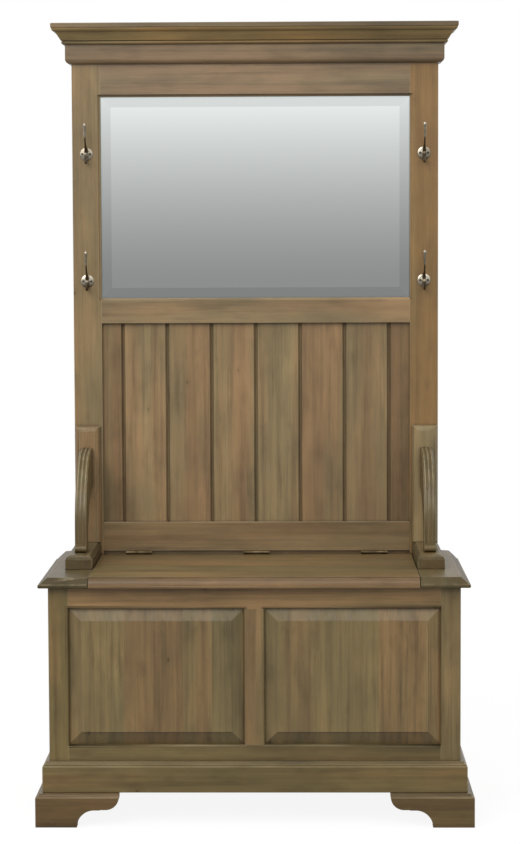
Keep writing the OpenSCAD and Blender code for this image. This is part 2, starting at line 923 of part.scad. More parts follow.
module post_bolt_holes() {
    post_bolt_places() translate([0, 0, z_frame - cut])
        cylinder(r = bolt_r + screw_play, h = slab_t + bolt_l + cut + screw_play);
}

// Bolts that come up through the seat into the posts
module post_bolts() {
    color(metal) for (s = side_name) on_side(s) post_bolt_places() {
        translate([0, 0, z_frame]) cylinder(r = bolt_r, h = slab_t + bolt_l);
        translate([0, 0, z_frame - bolt_head_h]) cylinder(r = bolt_head_r, h = bolt_head_h, $fn = 6);
    }
}

module hutch_top_rail() {
    color(wood_c) difference() {
        block([-post_in, y_hutch, z_top_rail], [post_in, y_hutch + rail_t, z_under_top]);
        mirror_space();
    }
}

module hutch_mid_rail() {
    color(wood_c) difference() {
        block([-post_in, y_hutch, z_mid], [post_in, y_hutch + rail_t, z_mid_top]);
        mirror_space();
        board_space();
    }
}

module hutch_bottom_rail() {
    color(wood_c) difference() {
        block([-post_in, y_hutch, seat_h], [post_in, y_hutch + rail_t, z_low_top]);
        block([-post_in - cut, y_hutch - cut, seat_h - cut],
            [post_in + cut, y_hutch + low_rebate_d, seat_h + low_rebate_h]);
        board_space();
    }
}

// Section across the mirror glass, in (across, depth)
module glass_section(span) {
    half = span / 2 + lap - glass_play;
    edge = span / 2 - glass_bevel;
    polygon([[-half, glass_t], [-half, glass_drop], [-edge, 0],
        [edge, 0], [half, glass_drop], [half, glass_t]]);
}

module mirror_glass() {
    z_mid_open = (z_top_rail + z_mid_top) / 2;
    color([0.8, 0.82, 0.83]) translate([0, y_hutch + glass_set, z_mid_open]) intersection() {
        linear_extrude(mirror_h + 2 * lap, center = true) glass_section(board_open);
        along_x(board_open + 2 * lap) swap() glass_section(mirror_h);
    }
}

module mirror_backing() {
    half = post_in + lap - glass_play;
    front = y_hutch + glass_set + glass_t;
    color(wood_dark) block([-half, front, z_mid_top - lap + glass_play],
        [half, front + backing_t, z_top_rail + lap - glass_play]);
}

// Beads behind the backing: two upright, and two between them
module mirror_beads() {
    front = y_hutch + glass_set + glass_t + backing_t;
    back = front + bead;
    side = post_in + lap;
    color(wood_b) {
        for (s = side_name) on_side(s)
            block([side - bead, front, z_mid_top - lap], [side, back, z_top_rail + lap]);
        inner = side - bead - glue_line;
        block([-inner, front, z_mid_top - lap], [inner, back, z_mid_top - lap + bead]);
        block([-inner, front, z_top_rail + lap - bead], [inner, back, z_top_rail + lap]);
    }
}

// Plan of one board from x0 to x1, with its tongue and groove, in (x, depth)
module board_plan(x0, x1, tongue, slot) {
    x_in = x0 + (slot ? board_gap / 2 : 0);
    x_out = x1 - (tongue ? board_gap / 2 : 0);
    bevel_in = slot ? board_bevel : 0;
    bevel_out = tongue ? board_bevel : 0;
    difference() {
        union() {
            polygon([[x_in, board_t], [x_in, bevel_in], [x_in + bevel_in, 0],
                [x_out - bevel_out, 0], [x_out, bevel_out], [x_out, board_t]]);
            if (tongue) translate([x_out - cut, board_t / 2])
                square([cut + board_gap + board_reach, board_tongue]);
        }
        if (slot) translate([x_in - cut, board_t / 2 - panel_play])
            square([cut + board_reach + panel_play, board_tongue + 2 * panel_play]);
    }
}

module back_boards() {
    edge = post_in + lap - panel_play;
    low = z_low_top - lap + panel_play;
    high = z_mid + lap - panel_play;
    seams = [for (i = [0:board_full]) (i - board_full / 2) * board_pitch];
    ends = concat([-edge], seams, [edge]);
    last = len(ends) - 2;
    color(wood_b) translate([0, y_hutch + board_set, low]) linear_extrude(high - low)
        for (i = [0:last]) board_plan(ends[i], ends[i + 1], i < last, i > 0);
}

// Section of a frieze board, in (out from the back, height above its lower edge)
module frieze_section() {
    tall = crown_h - crown_t;
    difference() {
        square([frieze_step, tall]);
        difference() {
            translate([frieze_step - frieze_r, -cut]) square([frieze_r + cut, frieze_r + cut]);
            translate([frieze_step - frieze_r, frieze_r]) circle(frieze_r);
        }
    }
}

// Section of the cornice moulding, in (out from the frieze, height above its lower edge):
// a small round, a long slope that leans outwards, and a larger round over it
module cornice_section() {
    out = crown_step - frieze_step - crown_reveal;
    foot_h = 2 * astragal_r + small_fillet;
    cap_in = out - cornice_cap_r;
    square([astragal_r, foot_h + cut]);
    translate([astragal_r, foot_h / 2]) circle(astragal_r);
    polygon([[0, foot_h], [foot_h, foot_h], [cap_in, cornice_h - cornice_cap_r],
        [cap_in, cornice_h], [0, cornice_h]]);
    intersection() {
        translate([cap_in, cornice_h]) circle(cornice_cap_r);
        translate([cap_in - cut, 0]) square([out, cornice_h]);
    }
}

// The plan of a front board of the crown that starts at in and ends at out from the back's face
module crown_front_plan(in, out) {
    half = hutch_w / 2;
    polygon([[-half - in, y_hutch - in], [-half - out, y_hutch - out],
        [half + out, y_hutch - out], [half + in, y_hutch - in]]);
}

// The plan of its right side board
module crown_side_plan(in, out) {
    half = hutch_w / 2;
    start = y_hutch + glue_line;
    polygon([[half + in, start - in], [half + out, start - out],
        [half + out, y_wall], [half + in, y_wall]]);
}

module frieze_boards() {
    color(wood_a) {
        intersection() {
            translate([0, y_hutch, z_frieze]) along_x(overall_w) mirror([1, 0]) frieze_section();
            linear_extrude(overall_h) crown_front_plan(0, frieze_step);
        }
        for (s = side_name) on_side(s) intersection() {
            translate([hutch_w / 2, y_wall, z_frieze]) along_y(overall_d) frieze_section();
            linear_extrude(overall_h) crown_side_plan(0, frieze_step);
        }
    }
}

module cornice_mouldings() {
    z_low = z_under_top - cornice_h;
    color(wood_b) {
        intersection() {
            translate([0, y_hutch - frieze_step, z_low]) along_x(overall_w) mirror([1, 0])
                cornice_section();
            linear_extrude(overall_h) crown_front_plan(frieze_step, crown_step);
        }
        for (s = side_name) on_side(s) intersection() {
            translate([hutch_w / 2 + frieze_step, y_wall, z_low]) along_y(overall_d) cornice_section();
            linear_extrude(overall_h) crown_side_plan(frieze_step, crown_step);
        }
    }
}

// Edge of the top board, in (in from the edge, height above its lower face)
module top_edge(depth) {
    translate([crown_round, 0]) square([depth - crown_round, crown_t]);
    translate([0, crown_round]) square([depth, crown_t - 2 * crown_round]);
    for (z = [crown_round, crown_t - crown_round]) translate([crown_round, z]) circle(crown_round);
}

module top_board() {
    half = hutch_w / 2 + crown_step;
    front = y_hutch - crown_step;
    color(wood_c) intersection() {
        translate([0, front, z_under_top]) along_x(2 * half) top_edge(y_wall - front);
        translate([half, y_wall, z_under_top]) along_y(y_wall - front) mirror([1, 0]) top_edge(2 * half);
        translate([-half, y_wall, z_under_top]) along_y(y_wall - front) top_edge(2 * half);
    }
}

// Edge of a plate or base, in (in from the edge, out from its seat), moulded over width r
module arm_mould(depth, thick, r) {
    difference() {
        square([depth, thick]);
        difference() {
            translate([-cut, thick - r]) square([r + cut, r + cut]);
            translate([r, thick - r]) circle(r - mould_step);
        }
    }
}

// The moulded plate on the post that the arm springs from, in line with the seat's end inside
module arm_plate(side) {
    tall = plate_rise - arm_base_h;
    color(wood_c) on_side(side) translate([plate_x, y_hutch, z_arm_base]) intersection() {
        for_both_edges(plate_w) linear_extrude(tall) mirror([0, 1]) arm_mould(plate_w, plate_t, plate_mould);
        translate([0, 0, tall]) along_x(plate_w) rotate(180) swap()
            arm_mould(tall, plate_t, plate_mould);
    }
}

// What lies between two mirrored edges at x = -width / 2 and width / 2
module for_both_edges(width) {
    intersection() {
        translate([-width / 2, 0, 0]) children();
        translate([width / 2, 0, 0]) mirror([1, 0, 0]) children();
    }
}

// The moulded base on the seat that the arm stands on
module arm_base(side) {
    long = arm_base_l + plate_t;
    color(wood_b) on_side(side) translate([arm_x, y_hutch, seat_h]) intersection() {
        translate([0, -long, 0]) along_x(arm_base_w) arm_mould(long, arm_base_h, base_mould);
        for_both_edges(arm_base_w) along_y(long) arm_mould(arm_base_w, arm_base_h, base_mould);
    }
}

// Outline of an arm in (forwards from its plate, height above the seat)
module arm_outline() {
    gap_r = arm_reach - arm_t;
    gap_z = arm_rise - arm_root - gap_r;
    difference() {
        union() {
            intersection() {
                translate([0, arm_bend_z]) circle(arm_reach, $fn = 128);
                translate([0, arm_bend_z]) square(arm_reach);
            }
            translate([0, arm_base_h]) square([arm_reach, arm_bend_z - arm_base_h]);
            translate([arm_reach, arm_base_h + arm_toe_r]) circle(arm_toe_r);
            translate([arm_reach - arm_toe_r, arm_base_h]) square(arm_toe_r);
        }
        translate([0, gap_z]) circle(gap_r, $fn = 128);
        translate([-cut, 0]) square([gap_r + cut, gap_z]);
    }
}

// Two grooves that part the reeds on an arm's face
module reed_grooves() {
    foot_z = arm_base_h + 2 * arm_toe_r;
    for (s = side_name) translate([s * arm_w / 6, 0, arm_bend_z]) {
        rotate([90, 0, -90]) rotate_extrude(angle = 90) translate([arm_reach, 0]) reed_groove();
        translate([0, -arm_reach, foot_z - arm_bend_z]) linear_extrude(arm_bend_z - foot_z) reed_groove();
    }
}

module reed_groove() {
    circle(reed_groove_r, $fn = 16);
}

module arm(side) {
    color(wood_c) on_side(side) translate([arm_x, y_plate, seat_h]) difference() {
        along_x(arm_w) mirror([1, 0]) arm_outline();
        reed_grooves();
    }
}

// The two screws of the right hook at height z
module hook_screw_pair(z, play) {
    for (s = side_name) translate([hook_px + s * rose_screw_x, y_hutch - rose_t, z]) rotate([-90, 0, 0])
        translate([0, 0, -play]) {
            cylinder(r = screw_r + play, h = hook_screw_l + 2 * play);
            cylinder(r1 = screw_head_r + play, r2 = screw_r + play, h = rose_t - rose_step);
        }
}

module hook_screws() {
    color(metal) for (s = side_name) on_side(s) for (z = [hook_low, hook_high]) hook_screw_pair(z, 0);
}

// Puts its children at a point of the (forwards, up) plane and turns their +Z to lean forwards
module on_hook(forward, up, lean = 0) {
    translate([0, -forward, up]) rotate([lean, 0, 0]) children();
}

// A bent rod in that plane, round a centre, from angle from_a over sweep
module bent_rod(forward, up, bend_r, from_a, sweep) {
    on_hook(forward, up) rotate([90, 0, -90]) rotate([0, 0, from_a]) rotate_extrude(angle = sweep)
        translate([bend_r, 0]) circle(prong_r, $fn = 32);
}

// The long upper prong: a rod that leans forwards, a bend that turns it up, a tapered rod
// and a rounded tip
module upper_prong() {
    start_f = rose_t + hook_run * tan(hook_lean);
    start_z = prong_low + hook_run;
    mid_f = start_f - hook_bend_r * cos(hook_lean);
    mid_z = start_z + hook_bend_r * sin(hook_lean);
    end_f = mid_f + hook_bend_r * cos(tip_lean);
    end_z = mid_z - hook_bend_r * sin(tip_lean);
    rod_l = (hook_tip_h - tip_r - end_z) / cos(tip_lean);
    on_hook(rose_t, prong_low, hook_lean) cylinder(r = prong_r, h = hook_run / cos(hook_lean));
    on_hook(start_f, start_z) sphere(prong_r + bend_ring);
    bent_rod(mid_f, mid_z, hook_bend_r, -hook_lean, hook_lean - tip_lean);
    on_hook(end_f, end_z, tip_lean) {
        sphere(prong_r + bend_ring);
        cylinder(r1 = prong_r, r2 = prong_r * prong_taper, h = rod_l);
        translate([0, 0, rod_l]) sphere(tip_r);
    }
}

// The short lower prong: a rod down from the boss, a crook and a ball
module lower_prong() {
    root_f = prong_r + crook_set;
    on_hook(root_f, -crook_low) {
        sphere(prong_r + bend_ring);
        cylinder(r = prong_r, h = crook_low);
    }
    bent_rod(root_f + crook_r, -crook_low, crook_r, 180, 180);
    on_hook(root_f + 2 * crook_r, -crook_low) {
        sphere(prong_r + bend_ring);
        cylinder(r1 = prong_r, r2 = prong_r * prong_taper, h = crook_rise);
        translate([0, 0, crook_rise]) sphere(crook_ball_r);
    }
}

// One coat hook on the right post at height z
module coat_hook(side, z) {
    color(metal) on_side(side) difference() {
        translate([hook_px, y_hutch, z]) {
            rotate([90, 0, 0]) cylinder(r = rose_r, h = rose_t - rose_step);
            rotate([90, 0, 0]) cylinder(r = rose_r - rose_step, h = rose_t);
            rotate([90, 0, 0]) cylinder(r = boss_r, h = boss_h);
            upper_prong();
            lower_prong();
        }
        hook_screw_pair(z, screw_play);
    }
}

front_stile(-1);  // front_stile_left
front_stile(1);  // front_stile_right
front_mullion();
front_top_rail();
front_bottom_rail();
front_panel(-1);  // front_panel_left
front_panel(1);  // front_panel_right
side_stiles(-1);  // side_stiles_left
side_stiles(1);  // side_stiles_right
side_rails(-1);  // side_rails_left
side_rails(1);  // side_rails_right
side_panel(-1);  // side_panel_left
side_panel(1);  // side_panel_right
rear_rails();
back_panel();
box_floor();
floor_cleats();
plinth_front();
plinth_side(-1);  // plinth_left
plinth_side(1);  // plinth_right
foot_front(-1);  // foot_front_left
foot_front(1);  // foot_front_right
foot_rear(-1);  // foot_rear_left
foot_rear(1);  // foot_rear_right
foot_blocks();
seat_end(-1);  // seat_end_left
seat_end(1);  // seat_end_right
seat_back_strip();
seat_lid();
lid_battens();
hinge_fixed_leaves();
hinge_lid_leaves();
hinge_pins();
hinge_fixed_screws();
hinge_lid_screws();
post(-1);  // post_left
post(1);  // post_right
post_bolts();
hutch_top_rail();
hutch_mid_rail();
hutch_bottom_rail();
mirror_glass();
mirror_backing();
mirror_beads();
back_boards();
frieze_boards();
cornice_mouldings();
top_board();
arm_plate(-1);  // arm_plate_left
arm_plate(1);  // arm_plate_right
arm(-1);  // arm_left
arm(1);  // arm_right
arm_base(-1);  // arm_base_left
arm_base(1);  // arm_base_right
coat_hook(-1, hook_high);  // hook_upper_left
coat_hook(1, hook_high);  // hook_upper_right
coat_hook(-1, hook_low);  // hook_lower_left
coat_hook(1, hook_low);  // hook_lower_right
hook_screws();
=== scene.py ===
import math
import random

import bmesh
import bpy
from mathutils import Matrix, Vector


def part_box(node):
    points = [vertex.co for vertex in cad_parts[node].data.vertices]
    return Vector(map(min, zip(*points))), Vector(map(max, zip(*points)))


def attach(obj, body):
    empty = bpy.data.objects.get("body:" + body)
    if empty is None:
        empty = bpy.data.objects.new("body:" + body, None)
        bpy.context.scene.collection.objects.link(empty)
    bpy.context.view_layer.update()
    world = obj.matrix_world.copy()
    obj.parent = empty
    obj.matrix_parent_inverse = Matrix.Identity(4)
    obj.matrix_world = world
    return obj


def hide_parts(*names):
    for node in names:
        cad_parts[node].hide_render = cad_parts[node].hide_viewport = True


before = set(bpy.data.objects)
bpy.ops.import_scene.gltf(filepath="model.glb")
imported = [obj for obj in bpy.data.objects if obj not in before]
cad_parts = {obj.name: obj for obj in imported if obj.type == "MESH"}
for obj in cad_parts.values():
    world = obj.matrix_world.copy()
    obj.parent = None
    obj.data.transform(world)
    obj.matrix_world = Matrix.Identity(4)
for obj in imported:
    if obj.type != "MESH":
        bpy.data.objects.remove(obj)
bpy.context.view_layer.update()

mm = 0.001
print("Frame loaded:", len(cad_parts), "solid nodes")


# Small helpers for node trees

def fill(tree, node, inputs):        # sockets are linked, other values set
    for name, value in inputs.items():
        if isinstance(value, bpy.types.NodeSocket):
            tree.links.new(value, node.inputs[name])
        else:
            node.inputs[name].default_value = value
    return node


def put(tree, kind, inputs=None, **settings):
    node = tree.nodes.new("ShaderNode" + kind)
    for name, value in settings.items():
        setattr(node, name, value)
    return fill(tree, node, inputs or {})


def calc(tree, operation, a, b=0.0, c=0.0, clamp=False):
    return put(tree, "Math", {0: a, 1: b, 2: c}, operation=operation, use_clamp=clamp).outputs[0]


def stretched(tree, place, scale, shift=(0, 0, 0)):
    return put(tree, "VectorMath", {0: place, 1: scale, 2: shift}, operation="MULTIPLY_ADD").outputs[0]


def cloudy(tree, place, scale, detail=2.0, rough=0.5):
    return put(tree, "TexNoise", {"Vector": stretched(tree, place, scale), "Scale": 1.0,
                                  "Detail": detail, "Roughness": rough}).outputs[0]


def between(tree, value, low, high, start=0.0, end=1.0):
    return put(tree, "MapRange", {0: value, 1: low, 2: high, 3: start, 4: end},
               interpolation_type="SMOOTHSTEP").outputs[0]


def blended(tree, share, a, b, mode="MIX"):
    return put(tree, "Mix", {0: share, 6: a, 7: b}, data_type="RGBA", blend_type=mode).outputs[2]


def split(tree, vector):
    return put(tree, "SeparateXYZ", {0: vector}).outputs


def painted(tree, name, output="Fac"):        # a value or vector that the meshes carry
    return put(tree, "Attribute", attribute_name=name).outputs[output]


def newGroup(name, inputs, outputs):
    tree = bpy.data.node_groups.new(name, "ShaderNodeTree")
    for label, kind, value in inputs:
        socket = tree.interface.new_socket(label, in_out="INPUT", socket_type="NodeSocket" + kind)
        socket.default_value = value
    for label, kind in outputs:
        tree.interface.new_socket(label, in_out="OUTPUT", socket_type="NodeSocket" + kind)
    return tree, tree.nodes.new("NodeGroupInput").outputs, tree.nodes.new("NodeGroupOutput").inputs


def clipped(value):
    return max(0.0, min(1.0, value))


def newMaterial(name):
    made = bpy.data.materials.new(name)
    made.use_nodes = True
    return made, made.node_tree, made.node_tree.nodes["Principled BSDF"]


def colour(r, g, b):        # screen values 0 to 255 to a linear colour
    def linear(v):
        v /= 255
        return v / 12.92 if v <= 0.04045 else ((v + 0.055) / 1.055) ** 2.4
    return (linear(r), linear(g), linear(b), 1.0)


# Weathered timber: every board carries its own grain coordinates (along, across, deep),
# its tone, its stain and painted shade, and the width of the staves it is glued from (0 for one plank)

def buildTimberGroup():
    tree, given, out = newGroup("Weathered timber", [
        ("Washed", "Color", (0.2, 0.15, 0.08, 1)), ("Warm", "Color", (0.2, 0.12, 0.07, 1)),
        ("Dark", "Color", (0.03, 0.02, 0.01, 1)), ("Figure", "Float", 1.0),
        ("Ring Spacing", "Float", 0.006), ("Contrast", "Float", 1.0)],
        [("Color", "Color"), ("Height", "Float"), ("Sheen", "Float")])
    place = painted(tree, "grainCo", "Vector")
    tone = painted(tree, "boardTone")
    stave = painted(tree, "staveWidth")
    stain = split(tree, painted(tree, "stain", "Vector"))
    parts = split(tree, place)
    glued = calc(tree, "GREATER_THAN", stave, 0.002)
    number = calc(tree, "FLOOR", calc(tree, "DIVIDE", parts[1], calc(tree, "MAXIMUM", stave, 0.001)))
    number = calc(tree, "MULTIPLY", number, glued)
    seed = calc(tree, "MULTIPLY_ADD", tone, 61.7, number)
    chance = put(tree, "TexWhiteNoise", {"W": seed}, noise_dimensions="1D").outputs
    luck = split(tree, chance["Color"])
    moved = put(tree, "VectorMath", {0: chance["Color"], 1: (7.0, 3.0, 3.0), 2: place},
                operation="MULTIPLY_ADD").outputs[0]

    # growth rings round a heart that lies behind the face and runs out of true
    bend = put(tree, "TexNoise", {"Vector": stretched(tree, moved, (1.6, 11, 11)), "Scale": 1.0,
                                  "Detail": 2.0}).outputs["Color"]
    bent = split(tree, stretched(tree, bend, (0, 0.05, 0.05), (0, -0.025, -0.025)))
    across = calc(tree, "ADD", parts[1], bent[1])
    across = calc(tree, "SUBTRACT", across, calc(tree, "MULTIPLY", luck[1], 0.09))
    deep = calc(tree, "ADD", parts[2], bent[2])
    deep = calc(tree, "ADD", deep, calc(tree, "MULTIPLY_ADD", luck[2], 0.05, 0.012))
    deep = calc(tree, "MULTIPLY_ADD", parts[0], 0.045, deep)
    ring = calc(tree, "SQRT", calc(tree, "ADD", calc(tree, "MULTIPLY", across, across),
                                   calc(tree, "MULTIPLY", deep, deep)))
    ring = calc(tree, "DIVIDE", ring, given["Ring Spacing"])
    ring = calc(tree, "MULTIPLY_ADD", cloudy(tree, moved, (0.6, 34, 34), 2.0), 3.0, ring)
    year = put(tree, "TexWhiteNoise", {"W": calc(tree, "FLOOR", ring)}, noise_dimensions="1D").outputs[0]
    ring = calc(tree, "FRACT", ring)
    late = calc(tree, "MULTIPLY", between(tree, ring, 0.1, 0.9), between(tree, ring, 1.0, 0.8))
    late = calc(tree, "MULTIPLY", late, calc(tree, "MULTIPLY_ADD", year, 1.3, 0.1))
    faint = between(tree, cloudy(tree, moved, (1.5, 14, 14), 2.0), 0.36, 0.62)
    late = calc(tree, "MULTIPLY", calc(tree, "MULTIPLY", late, faint), given["Figure"])

    fibre = cloudy(tree, moved, (9, 420, 420), 3.0, 0.6)
    pores = between(tree, cloudy(tree, moved, (38, 1300, 1300), 1.0), 0.60, 0.74)
    streak = cloudy(tree, moved, (2.2, 75, 75), 3.0, 0.6)
    band = cloudy(tree, moved, (0.9, 24, 24), 2.0)
    cloud = cloudy(tree, moved, (3.4, 9, 9), 3.0, 0.55)
    blotch = cloudy(tree, moved, (12, 30, 30), 2.0)

    # small knots and dark flecks
    knot = put(tree, "TexVoronoi", {"Vector": stretched(tree, moved, (13, 25, 25)),
                                    "Scale": 1.0}).outputs
    knotSize = between(tree, split(tree, knot["Color"])[0], 0.62, 1.0)
    knotDark = calc(tree, "DIVIDE", knot["Distance"], calc(tree, "MULTIPLY_ADD", knotSize, 0.11, 0.0001))
    knotHalo = calc(tree, "MULTIPLY", between(tree, knotDark, 3.4, 0.8), knotSize)
    knotDark = between(tree, knotDark, 1.0, 0.4)

    # washed olive against the warm heartwood, by board, by band and by cloud
    warm = calc(tree, "MULTIPLY", calc(tree, "SUBTRACT", luck[0], 0.5),
                calc(tree, "MULTIPLY_ADD", glued, 0.75, 0.5))
    warm = calc(tree, "MULTIPLY_ADD", tone, 1.1, calc(tree, "SUBTRACT", warm, 0.05))
    warm = calc(tree, "MULTIPLY_ADD", calc(tree, "SUBTRACT", band, 0.5), 2.4, warm)
    warm = calc(tree, "MULTIPLY_ADD", calc(tree, "SUBTRACT", cloud, 0.5), 1.6, warm)
    warm = calc(tree, "ADD", warm, painted(tree, "blush"))
    body = blended(tree, between(tree, warm, 0.0, 1.0), given["Washed"], given["Warm"])
    dark = calc(tree, "MULTIPLY_ADD", late, 0.26, calc(tree, "MULTIPLY", pores, 0.22))
    dark = calc(tree, "MULTIPLY_ADD", between(tree, streak, 0.42, 0.72), 0.32, dark)
    dark = calc(tree, "MULTIPLY_ADD", between(tree, band, 0.52, 0.72), 0.14, dark)
    dark = calc(tree, "MULTIPLY_ADD", between(tree, blotch, 0.45, 0.8), 0.24, dark)
    dark = calc(tree, "MULTIPLY", dark, given["Contrast"])
    dark = calc(tree, "MULTIPLY_ADD", knotHalo, 0.18, dark)
    dark = calc(tree, "MULTIPLY_ADD", knotDark, 0.7, dark, clamp=True)
    body = blended(tree, dark, body, given["Dark"])
    lift = calc(tree, "MULTIPLY_ADD", calc(tree, "SUBTRACT", fibre, 0.5), 0.6, 1.19)
    lift = calc(tree, "MULTIPLY_ADD", calc(tree, "SUBTRACT", cloud, 0.5), 1.7, lift)
    lift = calc(tree, "MULTIPLY_ADD", calc(tree, "SUBTRACT", luck[1], 0.5),
                calc(tree, "MULTIPLY_ADD", glued, 0.14, 0.12), lift)
    # each board's stain and painted shade makes it darker or lighter
    lift = calc(tree, "MULTIPLY", lift, stain[0])
    shade = put(tree, "CombineXYZ", {0: lift, 1: lift, 2: lift}).outputs[0]
    body = blended(tree, 1.0, body, shade, "MULTIPLY")
    ashen = put(tree, "HueSaturation", {"Saturation": calc(tree, "SUBTRACT", 1.0, stain[1]),
                                        "Color": body}).outputs[0]
    tree.links.new(ashen, out["Color"])

    height = calc(tree, "MULTIPLY_ADD", pores, -0.55, calc(tree, "MULTIPLY", fibre, 0.35))
    height = calc(tree, "MULTIPLY_ADD", late, -0.18, height)
    height = calc(tree, "MULTIPLY_ADD", cloudy(tree, moved, (7, 38, 38), 1.0), 1.6, height)
    tree.links.new(height, out["Height"])
    dullness = calc(tree, "MULTIPLY_ADD", fibre, 0.5, calc(tree, "MULTIPLY", pores, 0.5), clamp=True)
    tree.links.new(dullness, out["Sheen"])
    return tree


# Where edges are rubbed pale and marked faces get a painted highlight, and where dark glaze and painted
# shade darken hollows, corners and undersides

def buildWearGroup():
    tree, given, out = newGroup("Wear, glaze and painted light", [
        ("Reach", "Float", 0.003), ("Glaze Shade Depth", "Float", 0.014), ("Break Up", "Float", 0.6),
        ("Underside", "Float", 0.0)],
        [("Rubbed And Highlit", "Float"), ("Settled And Shade", "Float")])
    place = painted(tree, "grainCo", "Vector")
    rounded = put(tree, "Bevel", {"Radius": given["Reach"]}, samples=4).outputs[0]
    flat = put(tree, "NewGeometry").outputs["True Normal"]
    match = put(tree, "VectorMath", {0: rounded, 1: flat}, operation="DOT_PRODUCT").outputs["Value"]
    edge = between(tree, match, 0.998, 0.90)
    # the arris attribute adds worn bevel faces and faces marked with painted highlights
    edge = calc(tree, "MAXIMUM", edge, painted(tree, "arris"))
    free = put(tree, "AmbientOcclusion", {"Distance": given["Glaze Shade Depth"]}, samples=5).outputs["AO"]
    edge = calc(tree, "MULTIPLY", edge, between(tree, free, 0.55, 0.9))
    patchy = between(tree, cloudy(tree, place, (9, 60, 60), 2.0), 0.38, 0.62)
    patchy = calc(tree, "MULTIPLY_ADD", calc(tree, "SUBTRACT", patchy, 1.0), given["Break Up"], 1.0)
    tree.links.new(calc(tree, "MULTIPLY", edge, patchy, clamp=True), out["Rubbed And Highlit"])
    # hollows and corners are darkened by ambient occlusion: dark glaze settled there, and painted shade
    glazeAndShade = between(tree, free, 0.80, 0.25)
    uneven = calc(tree, "MULTIPLY_ADD", cloudy(tree, place, (14, 40, 40), 2.0), 0.6, 0.7)
    glazeAndShade = calc(tree, "MULTIPLY", glazeAndShade, uneven, clamp=True)
    # painted shade on what looks downwards, and on faces marked for painted shade
    lean = split(tree, put(tree, "TexCoord").outputs["Normal"])[2]
    under = calc(tree, "MULTIPLY", between(tree, lean, -0.04, -0.15), given["Underside"])
    glazeAndShade = calc(tree, "MAXIMUM", glazeAndShade, calc(tree, "MAXIMUM", under, painted(tree, "paintedShadeMark")))
    tree.links.new(glazeAndShade, out["Settled And Shade"])
    return tree


# Cast or plated metal with dull patches

def buildMetalGroup():
    tree, given, out = newGroup("Aged metal", [
        ("Bright", "Color", (0.5, 0.48, 0.44, 1)), ("Dull", "Color", (0.1, 0.09, 0.08, 1)),
        ("Rubbed And Highlit", "Float", 0.0), ("Settled And Shade", "Float", 0.0), ("Dullness", "Float", 0.5)],
        [("Color", "Color"), ("Roughness", "Float"), ("Height", "Float")])
    place = put(tree, "TexCoord").outputs["Object"]
    patch = cloudy(tree, place, (55, 55, 55), 2.0, 0.5)
    grit = cloudy(tree, place, (900, 900, 900), 2.0)
    dull = calc(tree, "MULTIPLY_ADD", between(tree, patch, 0.3, 0.7), 0.6, given["Dullness"])
    # the tarnish attribute holds painted reflections, shade and highlights on the hooks, and an even
    # darkness on screws
    dull = calc(tree, "ADD", calc(tree, "SUBTRACT", dull, 0.3), painted(tree, "tarnishAndPaintedLight"))
    dull = calc(tree, "ADD", dull, given["Settled And Shade"])
    dull = calc(tree, "SUBTRACT", dull, calc(tree, "MULTIPLY", given["Rubbed And Highlit"], 0.5), clamp=True)
    tree.links.new(blended(tree, dull, given["Bright"], given["Dull"]), out["Color"])
    rough = calc(tree, "MULTIPLY_ADD", dull, 0.28, calc(tree, "MULTIPLY_ADD", grit, 0.12, 0.2))
    tree.links.new(rough, out["Roughness"])
    tree.links.new(calc(tree, "ADD", patch, calc(tree, "MULTIPLY", grit, 0.3)), out["Height"])
    return tree


timberGroup = buildTimberGroup()
wearGroup = buildWearGroup()
metalGroup = buildMetalGroup()
print("Shader groups built")
